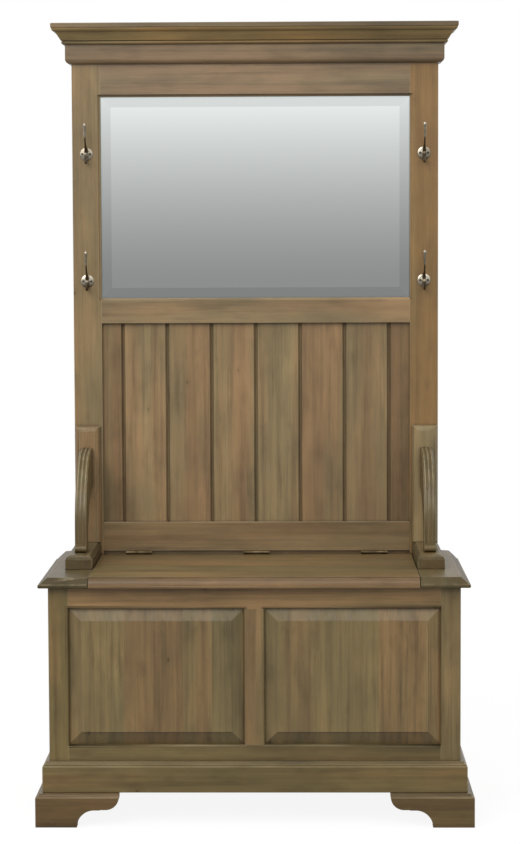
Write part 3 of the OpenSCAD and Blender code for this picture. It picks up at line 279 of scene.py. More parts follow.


# One wood for each part of the bench: all are the same washed hardwood, with their own glaze, painted
# shade and painted highlights

woodCommon = {"rubReach": 3, "underside": 0.4, "figure": 0.35, "ringSpacing": 14, "contrast": 1.0,
              "roughness": 0.42, "polish": 0.06, "grainRough": 0.16, "glazeRough": 0.2,
              "specular": 0.5, "coat": 0.15, "coatRoughness": 0.22, "bump": 0.35, "bumpDepth": 0.6}
ownLooks = {        # lengths in millimetres
    "chest": {
        "slot": "chest_wood", "washed": (126, 109, 68), "warm": (132, 103, 64),
        "dark": (56, 42, 22), "rubbedAndHighlit": (158, 143, 108), "glaze": (38, 29, 15), "rubAndHighlightAmount": 0.45,
        "glazeShadeAmount": 0.45, "glazeShadeDepth": 22, "underside": 0.62, "figure": 0.55, "roughness": 0.4,
        "specular": 0.38, "coat": 0.12},
    "panel": {
        "slot": "chest_wood", "washed": (123, 107, 68), "warm": (128, 101, 64),
        "dark": (56, 42, 22), "rubbedAndHighlit": (138, 131, 108), "glaze": (29, 22, 6), "rubAndHighlightAmount": 0.3,
        "glazeShadeAmount": 0.42, "rubReach": 2.5, "glazeShadeDepth": 14, "underside": 1.0, "figure": 0.55,
        "contrast": 1.1, "roughness": 0.4, "coat": 0.25},
    "seatEnd": {
        "slot": "seat_wood", "washed": (116, 103, 68), "warm": (120, 97, 63), "dark": (52, 40, 24),
        "rubbedAndHighlit": (160, 147, 116), "glaze": (40, 32, 19), "rubAndHighlightAmount": 0.7, "glazeShadeAmount": 0.8,
        "rubReach": 2, "glazeShadeDepth": 8, "figure": 0.5, "contrast": 0.9, "roughness": 0.46,
        "specular": 0.25, "coat": 0.1},
    "lid": {
        "slot": "seat_wood", "washed": (121, 106, 70), "warm": (132, 102, 65), "dark": (52, 40, 24),
        "rubbedAndHighlit": (168, 148, 116), "glaze": (44, 33, 19), "rubAndHighlightAmount": 0.8, "glazeShadeAmount": 0.8,
        "rubReach": 2, "glazeShadeDepth": 3, "figure": 0.5, "roughness": 0.38, "specular": 0.45,
        "coat": 0.2},
    "arm": {
        "slot": "back_wood", "washed": (110, 97, 61), "warm": (114, 92, 57), "dark": (48, 38, 22),
        "rubbedAndHighlit": (156, 144, 112), "glaze": (34, 27, 15), "rubAndHighlightAmount": 1.0, "glazeShadeAmount": 0.6,
        "glazeShadeDepth": 11, "underside": 0.15, "figure": 0.4, "ringSpacing": 12, "contrast": 0.9,
        "specular": 0.35},
    "plate": {
        "slot": "back_wood", "washed": (134, 117, 81), "warm": (136, 107, 71), "dark": (58, 46, 28),
        "rubbedAndHighlit": (182, 166, 134), "glaze": (36, 28, 16), "rubAndHighlightAmount": 1.0, "glazeShadeAmount": 1.0,
        "rubReach": 1.6, "glazeShadeDepth": 4.5, "figure": 0.4, "ringSpacing": 12, "contrast": 0.9},
    "back": {
        "slot": "back_wood", "washed": (135, 117, 80), "warm": (137, 108, 71), "dark": (66, 50, 30),
        "rubbedAndHighlit": (170, 155, 122), "glaze": (44, 34, 19), "rubAndHighlightAmount": 0.6, "glazeShadeAmount": 0.75,
        "glazeShadeDepth": 9, "underside": 0.45, "contrast": 0.85, "coat": 0.2},
    "cornice": {
        "slot": "back_wood", "washed": (137, 118, 81), "warm": (140, 110, 72), "dark": (66, 50, 30),
        "rubbedAndHighlit": (166, 150, 118), "glaze": (60, 48, 30), "rubAndHighlightAmount": 0.2, "glazeShadeAmount": 0.3,
        "rubReach": 2.5, "glazeShadeDepth": 7, "underside": 0.05, "contrast": 0.85, "specular": 0.4,
        "coat": 0.2},
    "board": {
        "slot": "board_wood", "washed": (136, 117, 79), "warm": (139, 109, 72),
        "dark": (60, 45, 26), "rubbedAndHighlit": (172, 156, 120), "glaze": (32, 25, 14), "rubAndHighlightAmount": 0.75,
        "glazeShadeAmount": 0.6, "rubReach": 2.5, "glazeShadeDepth": 8, "underside": 0.3, "roughness": 0.44},
    "inner": {
        "slot": "inner_wood", "washed": (118, 100, 66), "warm": (122, 96, 62), "dark": (58, 44, 27),
        "rubbedAndHighlit": (132, 114, 80), "glaze": (50, 39, 24), "rubAndHighlightAmount": 0.2, "glazeShadeAmount": 0.4,
        "glazeShadeDepth": 14, "underside": 0.0, "figure": 0.9, "ringSpacing": 11, "roughness": 0.6,
        "specular": 0.4, "coat": 0.0},
}
woodLooks = {name: {**woodCommon, **look} for name, look in ownLooks.items()}


def makeWood(name, look):
    made, tree, shader = newMaterial(name.capitalize() + " timber")
    grain = put(tree, "Group", {
        "Washed": colour(*look["washed"]), "Warm": colour(*look["warm"]), "Dark": colour(*look["dark"]),
        "Figure": look["figure"], "Ring Spacing": look["ringSpacing"] * mm,
        "Contrast": look["contrast"]}, node_tree=timberGroup)
    wear = put(tree, "Group", {"Reach": look["rubReach"] * mm, "Glaze Shade Depth": look["glazeShadeDepth"] * mm,
                               "Underside": look["underside"]}, node_tree=wearGroup)
    # glaze and painted shade darken the colour, rubbed wear and painted highlights lighten it
    glazeAndShade = calc(tree, "MULTIPLY", wear.outputs["Settled And Shade"], look["glazeShadeAmount"])
    rubbedAndHighlit = calc(tree, "MULTIPLY", wear.outputs["Rubbed And Highlit"], look["rubAndHighlightAmount"])
    base = blended(tree, glazeAndShade, grain.outputs["Color"], colour(*look["glaze"]))
    base = blended(tree, rubbedAndHighlit, base, colour(*look["rubbedAndHighlit"]))
    rough = calc(tree, "MULTIPLY_ADD", grain.outputs["Sheen"], look["grainRough"],
                 look["roughness"] - look["polish"])
    rough = calc(tree, "MULTIPLY_ADD", glazeAndShade, look["glazeRough"], rough)
    bump = put(tree, "Bump", {"Strength": look["bump"], "Distance": look["bumpDepth"] * mm,
                              "Height": grain.outputs["Height"]}).outputs[0]
    fill(tree, shader, {"Base Color": base, "Roughness": rough, "Normal": bump,
                        "Specular IOR Level": look["specular"], "Coat Weight": look["coat"],
                        "Coat Roughness": look["coatRoughness"]})
    return made


woods = {name: makeWood(name, look) for name, look in woodLooks.items()}

metalCommon = {"rubReach": 0.8, "glazeShadeDepth": 6, "bump": 0.3, "bumpDepth": 0.3}
metalLooks = {
    "hook": {"bright": (210, 200, 180), "dull": (88, 74, 52), "dullness": 0.18},
    "hinge": {"bright": (150, 132, 100), "dull": (92, 78, 56), "dullness": 0.75},
    "screw": {"bright": (178, 172, 158), "dull": (84, 78, 66), "dullness": 0.4},
}


def makeMetal(name, look):
    made, tree, shader = newMaterial(name.capitalize() + " metal")
    wear = put(tree, "Group", {"Reach": look["rubReach"] * mm, "Glaze Shade Depth": look["glazeShadeDepth"] * mm},
               node_tree=wearGroup)
    aged = put(tree, "Group", {
        "Bright": colour(*look["bright"]), "Dull": colour(*look["dull"]), "Dullness": look["dullness"],
        "Rubbed And Highlit": wear.outputs["Rubbed And Highlit"], "Settled And Shade": wear.outputs["Settled And Shade"]}, node_tree=metalGroup)
    bump = put(tree, "Bump", {"Strength": look["bump"], "Distance": look["bumpDepth"] * mm,
                              "Height": aged.outputs["Height"]}).outputs[0]
    fill(tree, shader, {"Base Color": aged.outputs["Color"], "Metallic": 1.0, "Normal": bump,
                        "Roughness": aged.outputs["Roughness"]})
    return made


metals = {name: makeMetal(name, {**metalCommon, **look}) for name, look in metalLooks.items()}

mirrorLook = {"silver": (236, 240, 239), "edge": (206, 218, 214), "roughness": 0.015, "edgeReach": 0.006}


def makeMirror(look):
    made, tree, shader = newMaterial("Silvered glass")
    place = put(tree, "TexCoord").outputs["Object"]
    near = put(tree, "AmbientOcclusion", {"Distance": look["edgeReach"]}, samples=4).outputs["AO"]
    haze = cloudy(tree, place, (30, 30, 30), 3.0)
    uneven = calc(tree, "MULTIPLY_ADD", haze, 0.6, 0.6)
    edge = calc(tree, "MULTIPLY", between(tree, near, 0.95, 0.5), uneven)
    base = blended(tree, edge, colour(*look["silver"]), colour(*look["edge"]))
    rough = calc(tree, "MULTIPLY_ADD", haze, 0.012, look["roughness"])
    fill(tree, shader, {"Base Color": base, "Roughness": rough, "Metallic": 1.0})
    return made


silver = makeMirror(mirrorLook)
print("Materials made")


# Boards: each solid's own shape with its arrises softened by a plane stroke,
# and the grain laid along its length

softening = {"arris": 1.1 * mm, "small": 0.4 * mm, "sharp": 28, "flat": 0.6}        # angles in degrees


def islandsOf(bm):
    bm.verts.ensure_lookup_table()
    bm.verts.index_update()
    seen, groups = set(), []
    for start in bm.verts:
        if start.index in seen:
            continue
        seen.add(start.index)
        group, waiting = [], [start]
        while waiting:
            vert = waiting.pop()
            group.append(vert)
            for edge in vert.link_edges:
                other = edge.other_vert(vert)
                if other.index not in seen:
                    seen.add(other.index)
                    waiting.append(other)
        groups.append(group)
    return groups


def boxOf(verts):
    low = Vector(min(v.co[i] for v in verts) for i in range(3))
    high = Vector(max(v.co[i] for v in verts) for i in range(3))
    return low, high


def layGrain(bm, tones, grain, stave, stain=(1.0, 0.0)):
    grainCo = bm.verts.layers.float_vector.new("grainCo")
    boardTone = bm.verts.layers.float.new("boardTone")
    staveWidth = bm.verts.layers.float.new("staveWidth")
    stainShadeLayer = bm.verts.layers.float_vector.new("stain")
    groups = [(boxOf(g), g) for g in islandsOf(bm)]
    groups.sort(key=lambda pair: [round(c, 3) for c in pair[0][0]])
    for number, ((low, high), group) in enumerate(groups):
        size = high - low
        along = "xyz".index(grain) if grain else max(range(3), key=lambda i: size[i])
        rest = sorted((i for i in range(3) if i != along), key=lambda i: -size[i])
        tone = tones[number % len(tones)]
        depth, ash = stain[number] if isinstance(stain, list) else stain
        for vert in group:
            place = vert.co - low
            vert[grainCo] = (place[along], place[rest[0]], place[rest[1]])
            vert[boardTone] = tone
            vert[staveWidth] = stave
            vert[stainShadeLayer] = (depth, ash, 0)


def finishMesh(bm, nodeName, material, smooth=34):        # front_stile_left becomes frontStileLeft
    first, *rest = nodeName.replace("hutch", "back").replace("mid_", "middle_").split("_")
    name = first + "".join(word.capitalize() for word in rest)
    mesh = bpy.data.meshes.new(name)
    bm.to_mesh(mesh)
    bm.free()
    mesh.shade_smooth()
    mesh.set_sharp_from_angle(angle=math.radians(smooth))
    mesh.materials.append(material)
    piece = bpy.data.objects.new(name, mesh)
    bpy.context.scene.collection.objects.link(piece)
    even = piece.modifiers.new("Even shading", "WEIGHTED_NORMAL")
    even.keep_sharp = True
    even.weight = 100
    even.thresh = 1e-4
    return piece


def settle(piece, nodes, slot, body="body"):
    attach(piece, body)
    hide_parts(*nodes)
    return piece


def nodeMesh(nodeName):
    bm = bmesh.new()
    bm.from_mesh(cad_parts[nodeName].data)
    bmesh.ops.remove_doubles(bm, verts=bm.verts, dist=1e-6)
    return bm


def onCorners(edge, low, high):        # an edge that runs along an edge of its board's box
    shared = 0
    for i in range(3):
        a, b = (v.co[i] for v in edge.verts)
        if abs(a - b) < 1e-5 and min(abs(a - low[i]), abs(a - high[i])) < 1e-5:
            shared += 1
    return shared >= 2


def hasRoom(edge, width):        # a sharp outer edge with enough wood on both sides for the stroke
    if len(edge.link_faces) != 2 or not edge.is_convex:
        return False
    if edge.calc_face_angle(0.0) < math.radians(softening["sharp"]):
        return False
    way = (edge.verts[1].co - edge.verts[0].co).normalized()
    for vert in edge.verts:
        for other in vert.link_edges:
            if other is edge:
                continue
            run = other.other_vert(vert).co - vert.co
            aside = (run - way * run.dot(way)).length
            turns = abs(run.normalized().dot(way)) < 0.999
            if run.length < 3 * width or (aside < 2.5 * width and turns):
                return False
    return True


def dressBoard(nodeName, wood, tones, stain=(1.0, 0.0), grain=None, stave=0.0, body="body",
               smooth=34, marks=None):
    bm = nodeMesh(nodeName)
    bmesh.ops.dissolve_limit(bm, angle_limit=math.radians(softening["flat"]),
                             verts=bm.verts, edges=bm.edges)
    wearAndHighlight = bm.faces.layers.float.new("arris")
    for width, steps, cornersOnly in ((softening["arris"], 2, True), (softening["small"], 1, False)):
        edges = []
        for group in islandsOf(bm):
            low, high = boxOf(group)
            edges += [e for v in group for e in v.link_edges if e.verts[0] is v and hasRoom(e, width)
                      and (onCorners(e, low, high) or not cornersOnly)]
        if not edges:
            continue
        edges.sort(key=lambda e: [round(c, 5) for v in e.verts for c in v.co])
        made = bmesh.ops.bevel(bm, geom=edges, offset=width, segments=steps, profile=0.5, affect="EDGES")
        for face in made["faces"]:
            face[wearAndHighlight] = 1.0
    bmesh.ops.dissolve_degenerate(bm, dist=1e-5, edges=bm.edges)
    bm.normal_update()
    paintedShadeMark, blush = (bm.faces.layers.float.new(name) for name in ("paintedShadeMark", "blush"))
    low, high = boxOf(bm.verts)
    # marked faces get painted shade, a warmer colour and painted highlights
    for face in bm.faces if marks else ():
        face[paintedShadeMark], face[blush], pale = marks(face, low, high)
        face[wearAndHighlight] = max(face[wearAndHighlight], pale)
    layGrain(bm, tones, grain, stave, stain)
    piece = finishMesh(bm, nodeName, woods[wood], smooth)
    return settle(piece, [nodeName], woodLooks[wood]["slot"], body)


# For each board: its wood, how olive (0) or pink (1) each plank is, and its stain and painted shade as
# (lightness, how ashen it is, below 0 for a richer colour); the lightness is partly painted shade
boards = {
    "front_stile_left": ("chest", [0.28], (0.83, 0.0)),
    "front_stile_right": ("chest", [0.38], (0.96, 0.06)),
    "front_mullion": ("chest", [0.48], (1.06, 0.06)),
    "front_top_rail": ("chest", [0.76], (1.09, 0.04)),
    # the bottom rail, plinth and feet are darker: their stain, and painted shade towards the floor
    "front_bottom_rail": ("chest", [0.35], (0.72, 0.0)),
    "plinth_front": ("chest", [0.31], (0.67, 0.0)),
    "plinth_left": ("chest", [0.35], (0.7, 0.0)),
    "plinth_right": ("chest", [0.41], (0.7, 0.0)),
    "foot_front_left": ("chest", [0.78, 0.50], (0.62, 0.0)),
    "foot_front_right": ("chest", [0.44, 0.58], (0.58, 0.0)),
    "foot_rear_left": ("chest", [0.44, 0.33], (0.6, 0.0)),
    "foot_rear_right": ("chest", [0.36, 0.53], (0.6, 0.0)),
    "side_stiles_left": ("chest", [0.33, 0.45], (0.9, 0.0)),
    "side_rails_left": ("chest", [0.51, 0.31], (0.9, 0.0)),
    "side_stiles_right": ("chest", [0.47, 0.34], (0.9, 0.0)),
    "side_rails_right": ("chest", [0.37, 0.56], (0.9, 0.0)),
    "front_panel_left": ("panel", [0.40], (0.95, 0.0)),
    "front_panel_right": ("panel", [0.47], (1.0, 0.0)),
    "side_panel_left": ("panel", [0.35], (0.9, 0.0)),
    "side_panel_right": ("panel", [0.50], (0.9, 0.0)),
    "rear_rails": ("inner", [0.4, 0.5]),
    "back_panel": ("inner", [0.45]),
    "box_floor": ("inner", [0.42]),
    "floor_cleats": ("inner", [0.4, 0.5, 0.6, 0.3]),
    "foot_blocks": ("inner", [0.5, 0.4, 0.3, 0.6]),
    "mirror_backing": ("inner", [0.5]),
    "mirror_beads": ("inner", [0.4, 0.5]),
    "post_left": ("back", [0.40], (0.95, 0.0)),
    "post_right": ("back", [0.97], (0.95, -0.08)),
    "hutch_top_rail": ("back", [0.55], (0.88, 0.12)),
    "hutch_mid_rail": ("back", [0.61], (1.01, 0.05)),
    "hutch_bottom_rail": ("back", [0.72], (0.82, 0.0)),
    "frieze_boards": ("cornice", [0.55, 0.45, 0.50], (0.76, 0.12)),
    "cornice_mouldings": ("cornice", [0.86, 0.50, 0.65], (1.06, -0.08)),
    "top_board": ("cornice", [0.45], (0.68, 0.06)),
    "arm_plate_left": ("plate", [0.90], (0.88, 0.0)),
    "arm_plate_right": ("plate", [0.30], (1.1, 0.0)),
    "seat_end_left": ("seatEnd", [0.34], (0.62, 0.0)),
    "seat_end_right": ("seatEnd", [0.31], (0.72, 0.0)),
    "seat_back_strip": ("seatEnd", [0.46], (0.8, 0.0)),
    "arm_base_left": ("seatEnd", [0.39], (0.66, 0.0)),
    "arm_base_right": ("seatEnd", [0.54], (0.88, 0.0)),
    # the two outer back boards, beside the posts, are darker as painted shade
    "back_boards": ("board", [0.52, 0.36, 0.70, 0.62, 0.28, 0.74, 0.44, 0.55],
                    [(0.73, 0.0)] + [(0.98, 0.03)] * 6 + [(0.64, 0.0)]),
    "seat_lid": ("lid", [0.36], (0.94, 0.0)),
    "lid_battens": ("inner", [0.4, 0.55]),
}

# Parts of a moulding with their own painted shade, warm colour and painted highlight.
# Each function gives a face's (painted shade, warm colour, painted highlight)

faceMarks = {"grooveShade": 0.7, "bevelShade": 0.12, "bevelHighlight": 1.0, "mouldShade": 0.45,
             "mouldHighlight": 1.0, "capShade": 0.55, "beadShade": 0.9, "stepShade": 0.6, "noseShade": 0.32,
             "noseBlush": 0.6, "endShade": 0.5}
markPlaces = {"ledgeBelow": 6, "capFrom": 29.2, "beadTo": 8.8, "noseDepth": 17, "stepDepth": 4.5}


def onGrooves(face, low, high):        # painted shade on the slanted sides of the grooves between boards
    slanted = min(abs(face.normal.x), abs(face.normal.y)) > 0.3
    return (faceMarks["grooveShade"] if slanted else 0.0), 0.0, 0.0


def onBevels(face, low, high):        # painted shade on the bevels at a panel's sides, a painted highlight on the one along its top
    aside = min(abs(face.normal.x), abs(face.normal.y)) > 0.06
    above = 0.06 < face.normal.z < 0.9
    return (faceMarks["bevelShade"] if aside else 0.0), 0.0, (faceMarks["bevelHighlight"] if above else 0.0)


def onFrame(face, low, high):        # painted shade on the rounds and hollows of the chest's frame, plinth and feet
    if sorted(abs(c) for c in face.normal)[1] < 0.15:
        return 0.0, 0.0, 0.0
    ledge = face.calc_center_median().z < high.z - markPlaces["ledgeBelow"] * mm
    if ledge and 0.15 < face.normal.z < 0.95:        # a lower round that looks upwards gets a painted highlight
        return 0.0, 0.0, faceMarks["mouldHighlight"]
    return faceMarks["mouldShade"], 0.0, 0.0


def onCornice(face, low, high):        # painted shade on its two rounds, over and under the long slope
    height = face.calc_center_median().z - low.z
    if height > markPlaces["capFrom"] * mm:
        return faceMarks["capShade"], 0.0, 0.0
    return (faceMarks["beadShade"] if height < markPlaces["beadTo"] * mm else 0.0), 0.0, 0.0


def onLid(face, low, high):        # painted shade on the step over the lid's nosing and on the nosing itself, which is also warmer
    middle = face.calc_center_median()
    if middle.y > low.y + markPlaces["noseDepth"] * mm or face.normal.z < -0.5:
        return 0.0, 0.0, 0.0
    step = face.normal.y < -0.9 and middle.z > high.z - markPlaces["stepDepth"] * mm
    return faceMarks["stepShade" if step else "noseShade"], faceMarks["noseBlush"], 0.0


def onSeatEnd(face, low, high):        # painted shade on its nosing, darker than its top
    return (faceMarks["endShade"] if -0.5 < face.normal.z < 0.95 else 0.0), 0.0, 0.0


# What is special about a wood's boards, or about one board; panels have sharp mitres
woodWork = {
    "chest": {"marks": onFrame}, "seatEnd": {"marks": onSeatEnd}, "board": {"marks": onGrooves},
    "panel": {"marks": onBevels, "grain": "z", "stave": 68 * mm, "smooth": 5},
    "lid": {"marks": onLid, "stave": 96 * mm, "body": "lid"},
}
boardWork = {
    "box_floor": {"stave": 90 * mm}, "back_panel": {"stave": 90 * mm},
    "cornice_mouldings": {"marks": onCornice}, "lid_battens": {"body": "lid"},
}
for nodeName, row in boards.items():
    dressBoard(nodeName, *row, **woodWork.get(row[0], {}), **boardWork.get(nodeName, {}))
print("Boards softened and grained")


# Arms: the solid's side outline with three round reeds over its face

armShape = {"reach": 174 * mm, "rise": 267 * mm, "thick": 42 * mm, "root": 99 * mm, "width": 28 * mm,
            "baseHeight": 33 * mm, "toe": 9 * mm, "reedRadius": 6.4 * mm, "reedPoints": 8,
            "quirk": 0.7 * mm, "arcSteps": 56, "straightSteps": 6, "toeSteps": 14, "reedsLow": 0.35,
            "fallFrom": 0.45, "fallOver": 0.4, "crestRubAndHighlight": 1.0, "crestFrom": 110 * mm,
            "crestOver": 90 * mm, "sharp": 50, "softening": 0.9 * mm, "stain": (0.72, 0.0)}
armTones = {"arm_left": 0.36, "arm_right": 0.45}


def armOutlines(shape):
    bendZ = shape["rise"] - shape["reach"]
    gapR = shape["reach"] - shape["thick"]
    gapZ = shape["rise"] - shape["root"] - gapR
    steps = shape["arcSteps"]
    outer, inner = [], []        # (forwards, up, direction out of the face)
    for i in range(steps + 1):
        a = math.radians(90 * (1 - i / steps))
        outer.append((shape["reach"] * math.cos(a), bendZ + shape["reach"] * math.sin(a), a))
    toeZ = shape["baseHeight"] + shape["toe"]
    straight, toeSteps = shape["straightSteps"], shape["toeSteps"]
    for i in range(1, straight + 1):
        z = bendZ + (toeZ + shape["toe"] - bendZ) * i / straight
        outer.append((shape["reach"], z, 0.0))
    for i in range(1, toeSteps + 1):
        a = math.radians(90 - 180 * i / toeSteps)
        outer.append((shape["reach"] + shape["toe"] * math.cos(a), toeZ + shape["toe"] * math.sin(a), a))
    last = len(outer) - 1
    for i in range(last + 1):
        share = min(1.0, i / (last - toeSteps))
        a = math.radians(90 * (1 - share))
        inner.append((gapR * math.cos(a), gapZ + gapR * math.sin(a)))
    for i in range(last - toeSteps + 1, last + 1):        # down to the base under the arm
        share = (i - (last - toeSteps)) / toeSteps
        inner[i] = (gapR, gapZ + (shape["baseHeight"] - gapZ) * share)
    return outer, inner


def buildArm(nodeName, tone, shape):
    outer, inner = armOutlines(shape)
    low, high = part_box(nodeName)
    middle = (low.x + high.x) / 2
    plateFace = high.y
    seatTop = low.z - shape["baseHeight"]
    half = shape["width"] / 2
    reed = shape["width"] / 3
    sag = shape["reedRadius"] - math.sqrt(shape["reedRadius"] ** 2 - (reed / 2) ** 2)
    across = []        # (x, how far below the reeds' crests)
    for number in range(3):
        centre = -half + reed * (number + 0.5)
        for k in range(shape["reedPoints"] + 1):
            u = (k / shape["reedPoints"] - 0.5) * (reed - shape["quirk"])
            drop = shape["reedRadius"] - math.sqrt(shape["reedRadius"] ** 2 - u * u)
            across.append((centre + u, drop))
        if number < 2:
            across.append((centre + reed / 2, sag + shape["quirk"]))
    bm = bmesh.new()
    rings = []
    for i, (f, z, a) in enumerate(outer):
        fall = clipped((i / shape["arcSteps"] - shape["fallFrom"]) / shape["fallOver"])
        fade = 1.0 - (1.0 - shape["reedsLow"]) * fall
        fade *= clipped((len(outer) - 1 - shape["toeSteps"] - i) / 3)
        ring = []
        for x, drop in across:
            depth = drop * fade
            ring.append((x, f - depth * math.cos(a), z - depth * math.sin(a)))
        fi, zi = inner[i]
        ring.append((half, fi, zi))
        ring.append((-half, fi, zi))
        rings.append([bm.verts.new((middle + x, plateFace - ff, seatTop + zz)) for x, ff, zz in ring])
    count = len(rings[0])
    for a, b in zip(rings, rings[1:]):
        for k in range(count):
            m = (k + 1) % count
            bm.faces.new((a[k], a[m], b[m], b[k]))
    bm.faces.new(rings[0])
    bm.faces.new(list(reversed(rings[-1])))
    bmesh.ops.recalc_face_normals(bm, faces=bm.faces)
    wearAndHighlight = bm.faces.layers.float.new("arris")
    for a, b in zip(rings, rings[1:]):        # the crests of the reeds are rubbed and get a painted highlight, less so further down
        fade = clipped((a[0].co.z - seatTop - shape["crestFrom"]) / shape["crestOver"])
        for number in range(3):
            first = number * (shape["reedPoints"] + 2) + shape["reedPoints"] // 2
            for k in (first - 1, first):
                for face in a[k].link_faces:
                    if b[k] in face.verts and a[k + 1] in face.verts:
                        face[wearAndHighlight] = shape["crestRubAndHighlight"] * fade
    edges = [e for e in bm.edges if e.is_convex and len(e.link_faces) == 2
             and e.calc_face_angle(0.0) > math.radians(shape["sharp"])]
    made = bmesh.ops.bevel(bm, geom=edges, offset=shape["softening"], segments=2, profile=0.5,
                           affect="EDGES", clamp_overlap=True)
    for face in made["faces"]:
        face[wearAndHighlight] = 1.0
    bmesh.ops.dissolve_degenerate(bm, dist=1e-6, edges=bm.edges)
    layGrain(bm, [tone], "z", 0.0, shape["stain"])
    return settle(finishMesh(bm, nodeName, woods["arm"]), [nodeName], woodLooks["arm"]["slot"])


for nodeName, tone in armTones.items():
    buildArm(nodeName, tone, armShape)
print("Arms reeded")


# Metal pieces: lathe-turned and swept forms

def turned(bm, profile, steps, matrix):        # rows of (radius, height); height runs forwards
    rings = []
    angles = [math.tau * k / steps for k in range(steps)]
    for radius, height in profile:
        spots = [(radius * math.cos(t), -height, radius * math.sin(t)) for t in angles]
        if radius < 1e-7:
            spots = [(0, -height, 0)]
        rings.append([bm.verts.new(matrix @ Vector(spot)) for spot in spots])
    for a, b in zip(rings, rings[1:]):
        for k in range(steps):
            m = (k + 1) % steps
            if len(a) == 1 and len(b) == 1:
                continue
            if len(a) == 1:
                bm.faces.new((a[0], b[k], b[m]))
            elif len(b) == 1:
                bm.faces.new((a[k], b[0], a[m]))
            else:
                bm.faces.new((a[k], b[k], b[m], a[m]))
    if len(rings[0]) > 1:
        bm.faces.new(rings[0])
    if len(rings[-1]) > 1:
        bm.faces.new(rings[-1])


def smoothPath(points, steps):        # Catmull-Rom through (forwards, up, radius) rows
    rows = [points[0]] + list(points) + [points[-1]]
    out = []
    for i in range(1, len(rows) - 2):
        p0, p1, p2, p3 = (Vector(rows[i + k]) for k in (-1, 0, 1, 2))
        for s in range(steps):
            t = s / steps
            out.append(0.5 * (2 * p1 + (p2 - p0) * t + (2 * p0 - 5 * p1 + 4 * p2 - p3) * t * t
                              + (3 * p1 - p0 - 3 * p2 + p3) * t * t * t))
    out.append(Vector(points[-1]))
    return out


def swept(bm, rows, sides, matrix):        # a round rod in the (forwards, up) plane
    rings = []
    sideways = Vector((1, 0, 0))
    for i, row in enumerate(rows):
        nextRow = rows[min(i + 1, len(rows) - 1)]
        lastRow = rows[max(i - 1, 0)]
        way = Vector((0, -(nextRow.x - lastRow.x), nextRow.y - lastRow.y)).normalized()
        up = way.cross(sideways)
        centre = Vector((0, -row.x, row.y))
        radius = max(row.z, 0.02 * mm)
        spokes = [sideways * math.cos(t) + up * math.sin(t)
                  for t in (math.tau * k / sides for k in range(sides))]
        rings.append([bm.verts.new(matrix @ (centre + spoke * radius)) for spoke in spokes])
    for a, b in zip(rings, rings[1:]):
        for k in range(sides):
            m = (k + 1) % sides
            bm.faces.new((a[k], a[m], b[m], b[k]))
    bm.faces.new(rings[0])
    bm.faces.new(rings[-1])


hookShape = {        # in millimetres; the prongs as (forwards, up, radius)
    "rise": 74,
    "rose": [(16.0, 0.0), (16.0, 0.9), (15.6, 1.35), (14.6, 1.75), (13.0, 2.2), (11.0, 2.6), (9.0, 2.9),
             (7.4, 3.0), (6.5, 3.4), (6.0, 4.4), (5.6, 5.8), (4.6, 6.9), (2.8, 7.5), (0.0, 7.7)],
    "upper": [(4.7, 2.0, 4.5), (8.0, 6.5, 4.2), (13.0, 12.0, 3.5), (19.0, 18.0, 2.6), (25.0, 24.0, 2.1),
              (31.0, 30.3, 1.9), (34.9, 36.0, 2.1), (36.9, 42.6, 2.5), (37.6, 50.0, 2.9),
              (38.2, 58.0, 3.3), (38.8, 65.0, 3.7), (39.2, 69.5, 3.6), (39.5, 72.3, 2.6),
              (39.7, 73.6, 1.3), (39.8, 74.0, 0.0)],
    "lower": [(4.9, -1.0, 4.4), (4.9, -5.0, 4.3), (4.9, -9.5, 4.0), (6.0, -14.8, 3.6), (9.8, -19.2, 3.3),
              (15.7, -21.0, 3.1), (21.6, -19.2, 2.9), (25.9, -14.8, 2.8), (27.5, -9.6, 2.8),
              (27.7, -6.2, 3.0), (27.7, -4.4, 4.1), (27.7, -1.2, 5.0), (27.7, 1.9, 4.1),
              (27.7, 3.6, 1.9), (27.7, 4.1, 0.0)],
    "steps": 5, "sides": 20, "turnSteps": 48,
}


hookPaintedLight = {        # places in millimetres, darkness from 0 to 1, as painted reflections, shade and highlights
    "plateDepth": 7.8, "plateRadius": 16.3, "spine": 5.0, "spineFade": 2.5, "spineDark": 0.75,
    "foot": -7.0, "footFade": 6.0, "footDark": 0.6, "upper": 5, "upperDark": 0.34, "knob": 64,
    "knobFade": 0.08, "bend": 41, "bendFade": 9, "bendDark": 0.9, "ball": (22, -5),
    "ballDark": 0.35, "lowerDark": 0.8}


def paintedLightOf(look, x, forwards, up):        # painted reflections, shade and highlights: how dark each place of a hook is drawn
    if forwards < look["plateDepth"] and math.hypot(x, up) < look["plateRadius"]:
        spine = clipped((look["spine"] - abs(x)) / look["spineFade"])
        foot = clipped((look["foot"] - up) / look["footFade"])
        return max(look["spineDark"] * spine, look["footDark"] * foot)
    if up > look["upper"]:
        pale = max(0.0, look["upperDark"] - max(0.0, up - look["knob"]) * look["knobFade"])
        return pale + (look["bendDark"] - pale) * clipped((look["bend"] - up) / look["bendFade"])
    onBall = forwards > look["ball"][0] and up > look["ball"][1]
    return look["ballDark"] if onBall else look["lowerDark"]


def finishMetal(bm, nodeName, metal, smooth, darkness):        # darkness of a place on the metal
    bm.faces.layers.float.new("arris")
    tarnishAndPaintedLight = bm.verts.layers.float.new("tarnishAndPaintedLight")
    for vert in bm.verts:
        vert[tarnishAndPaintedLight] = darkness(vert.co)
    layGrain(bm, [0.5], "z", 0.0)
    return finishMesh(bm, nodeName, metals[metal], smooth)


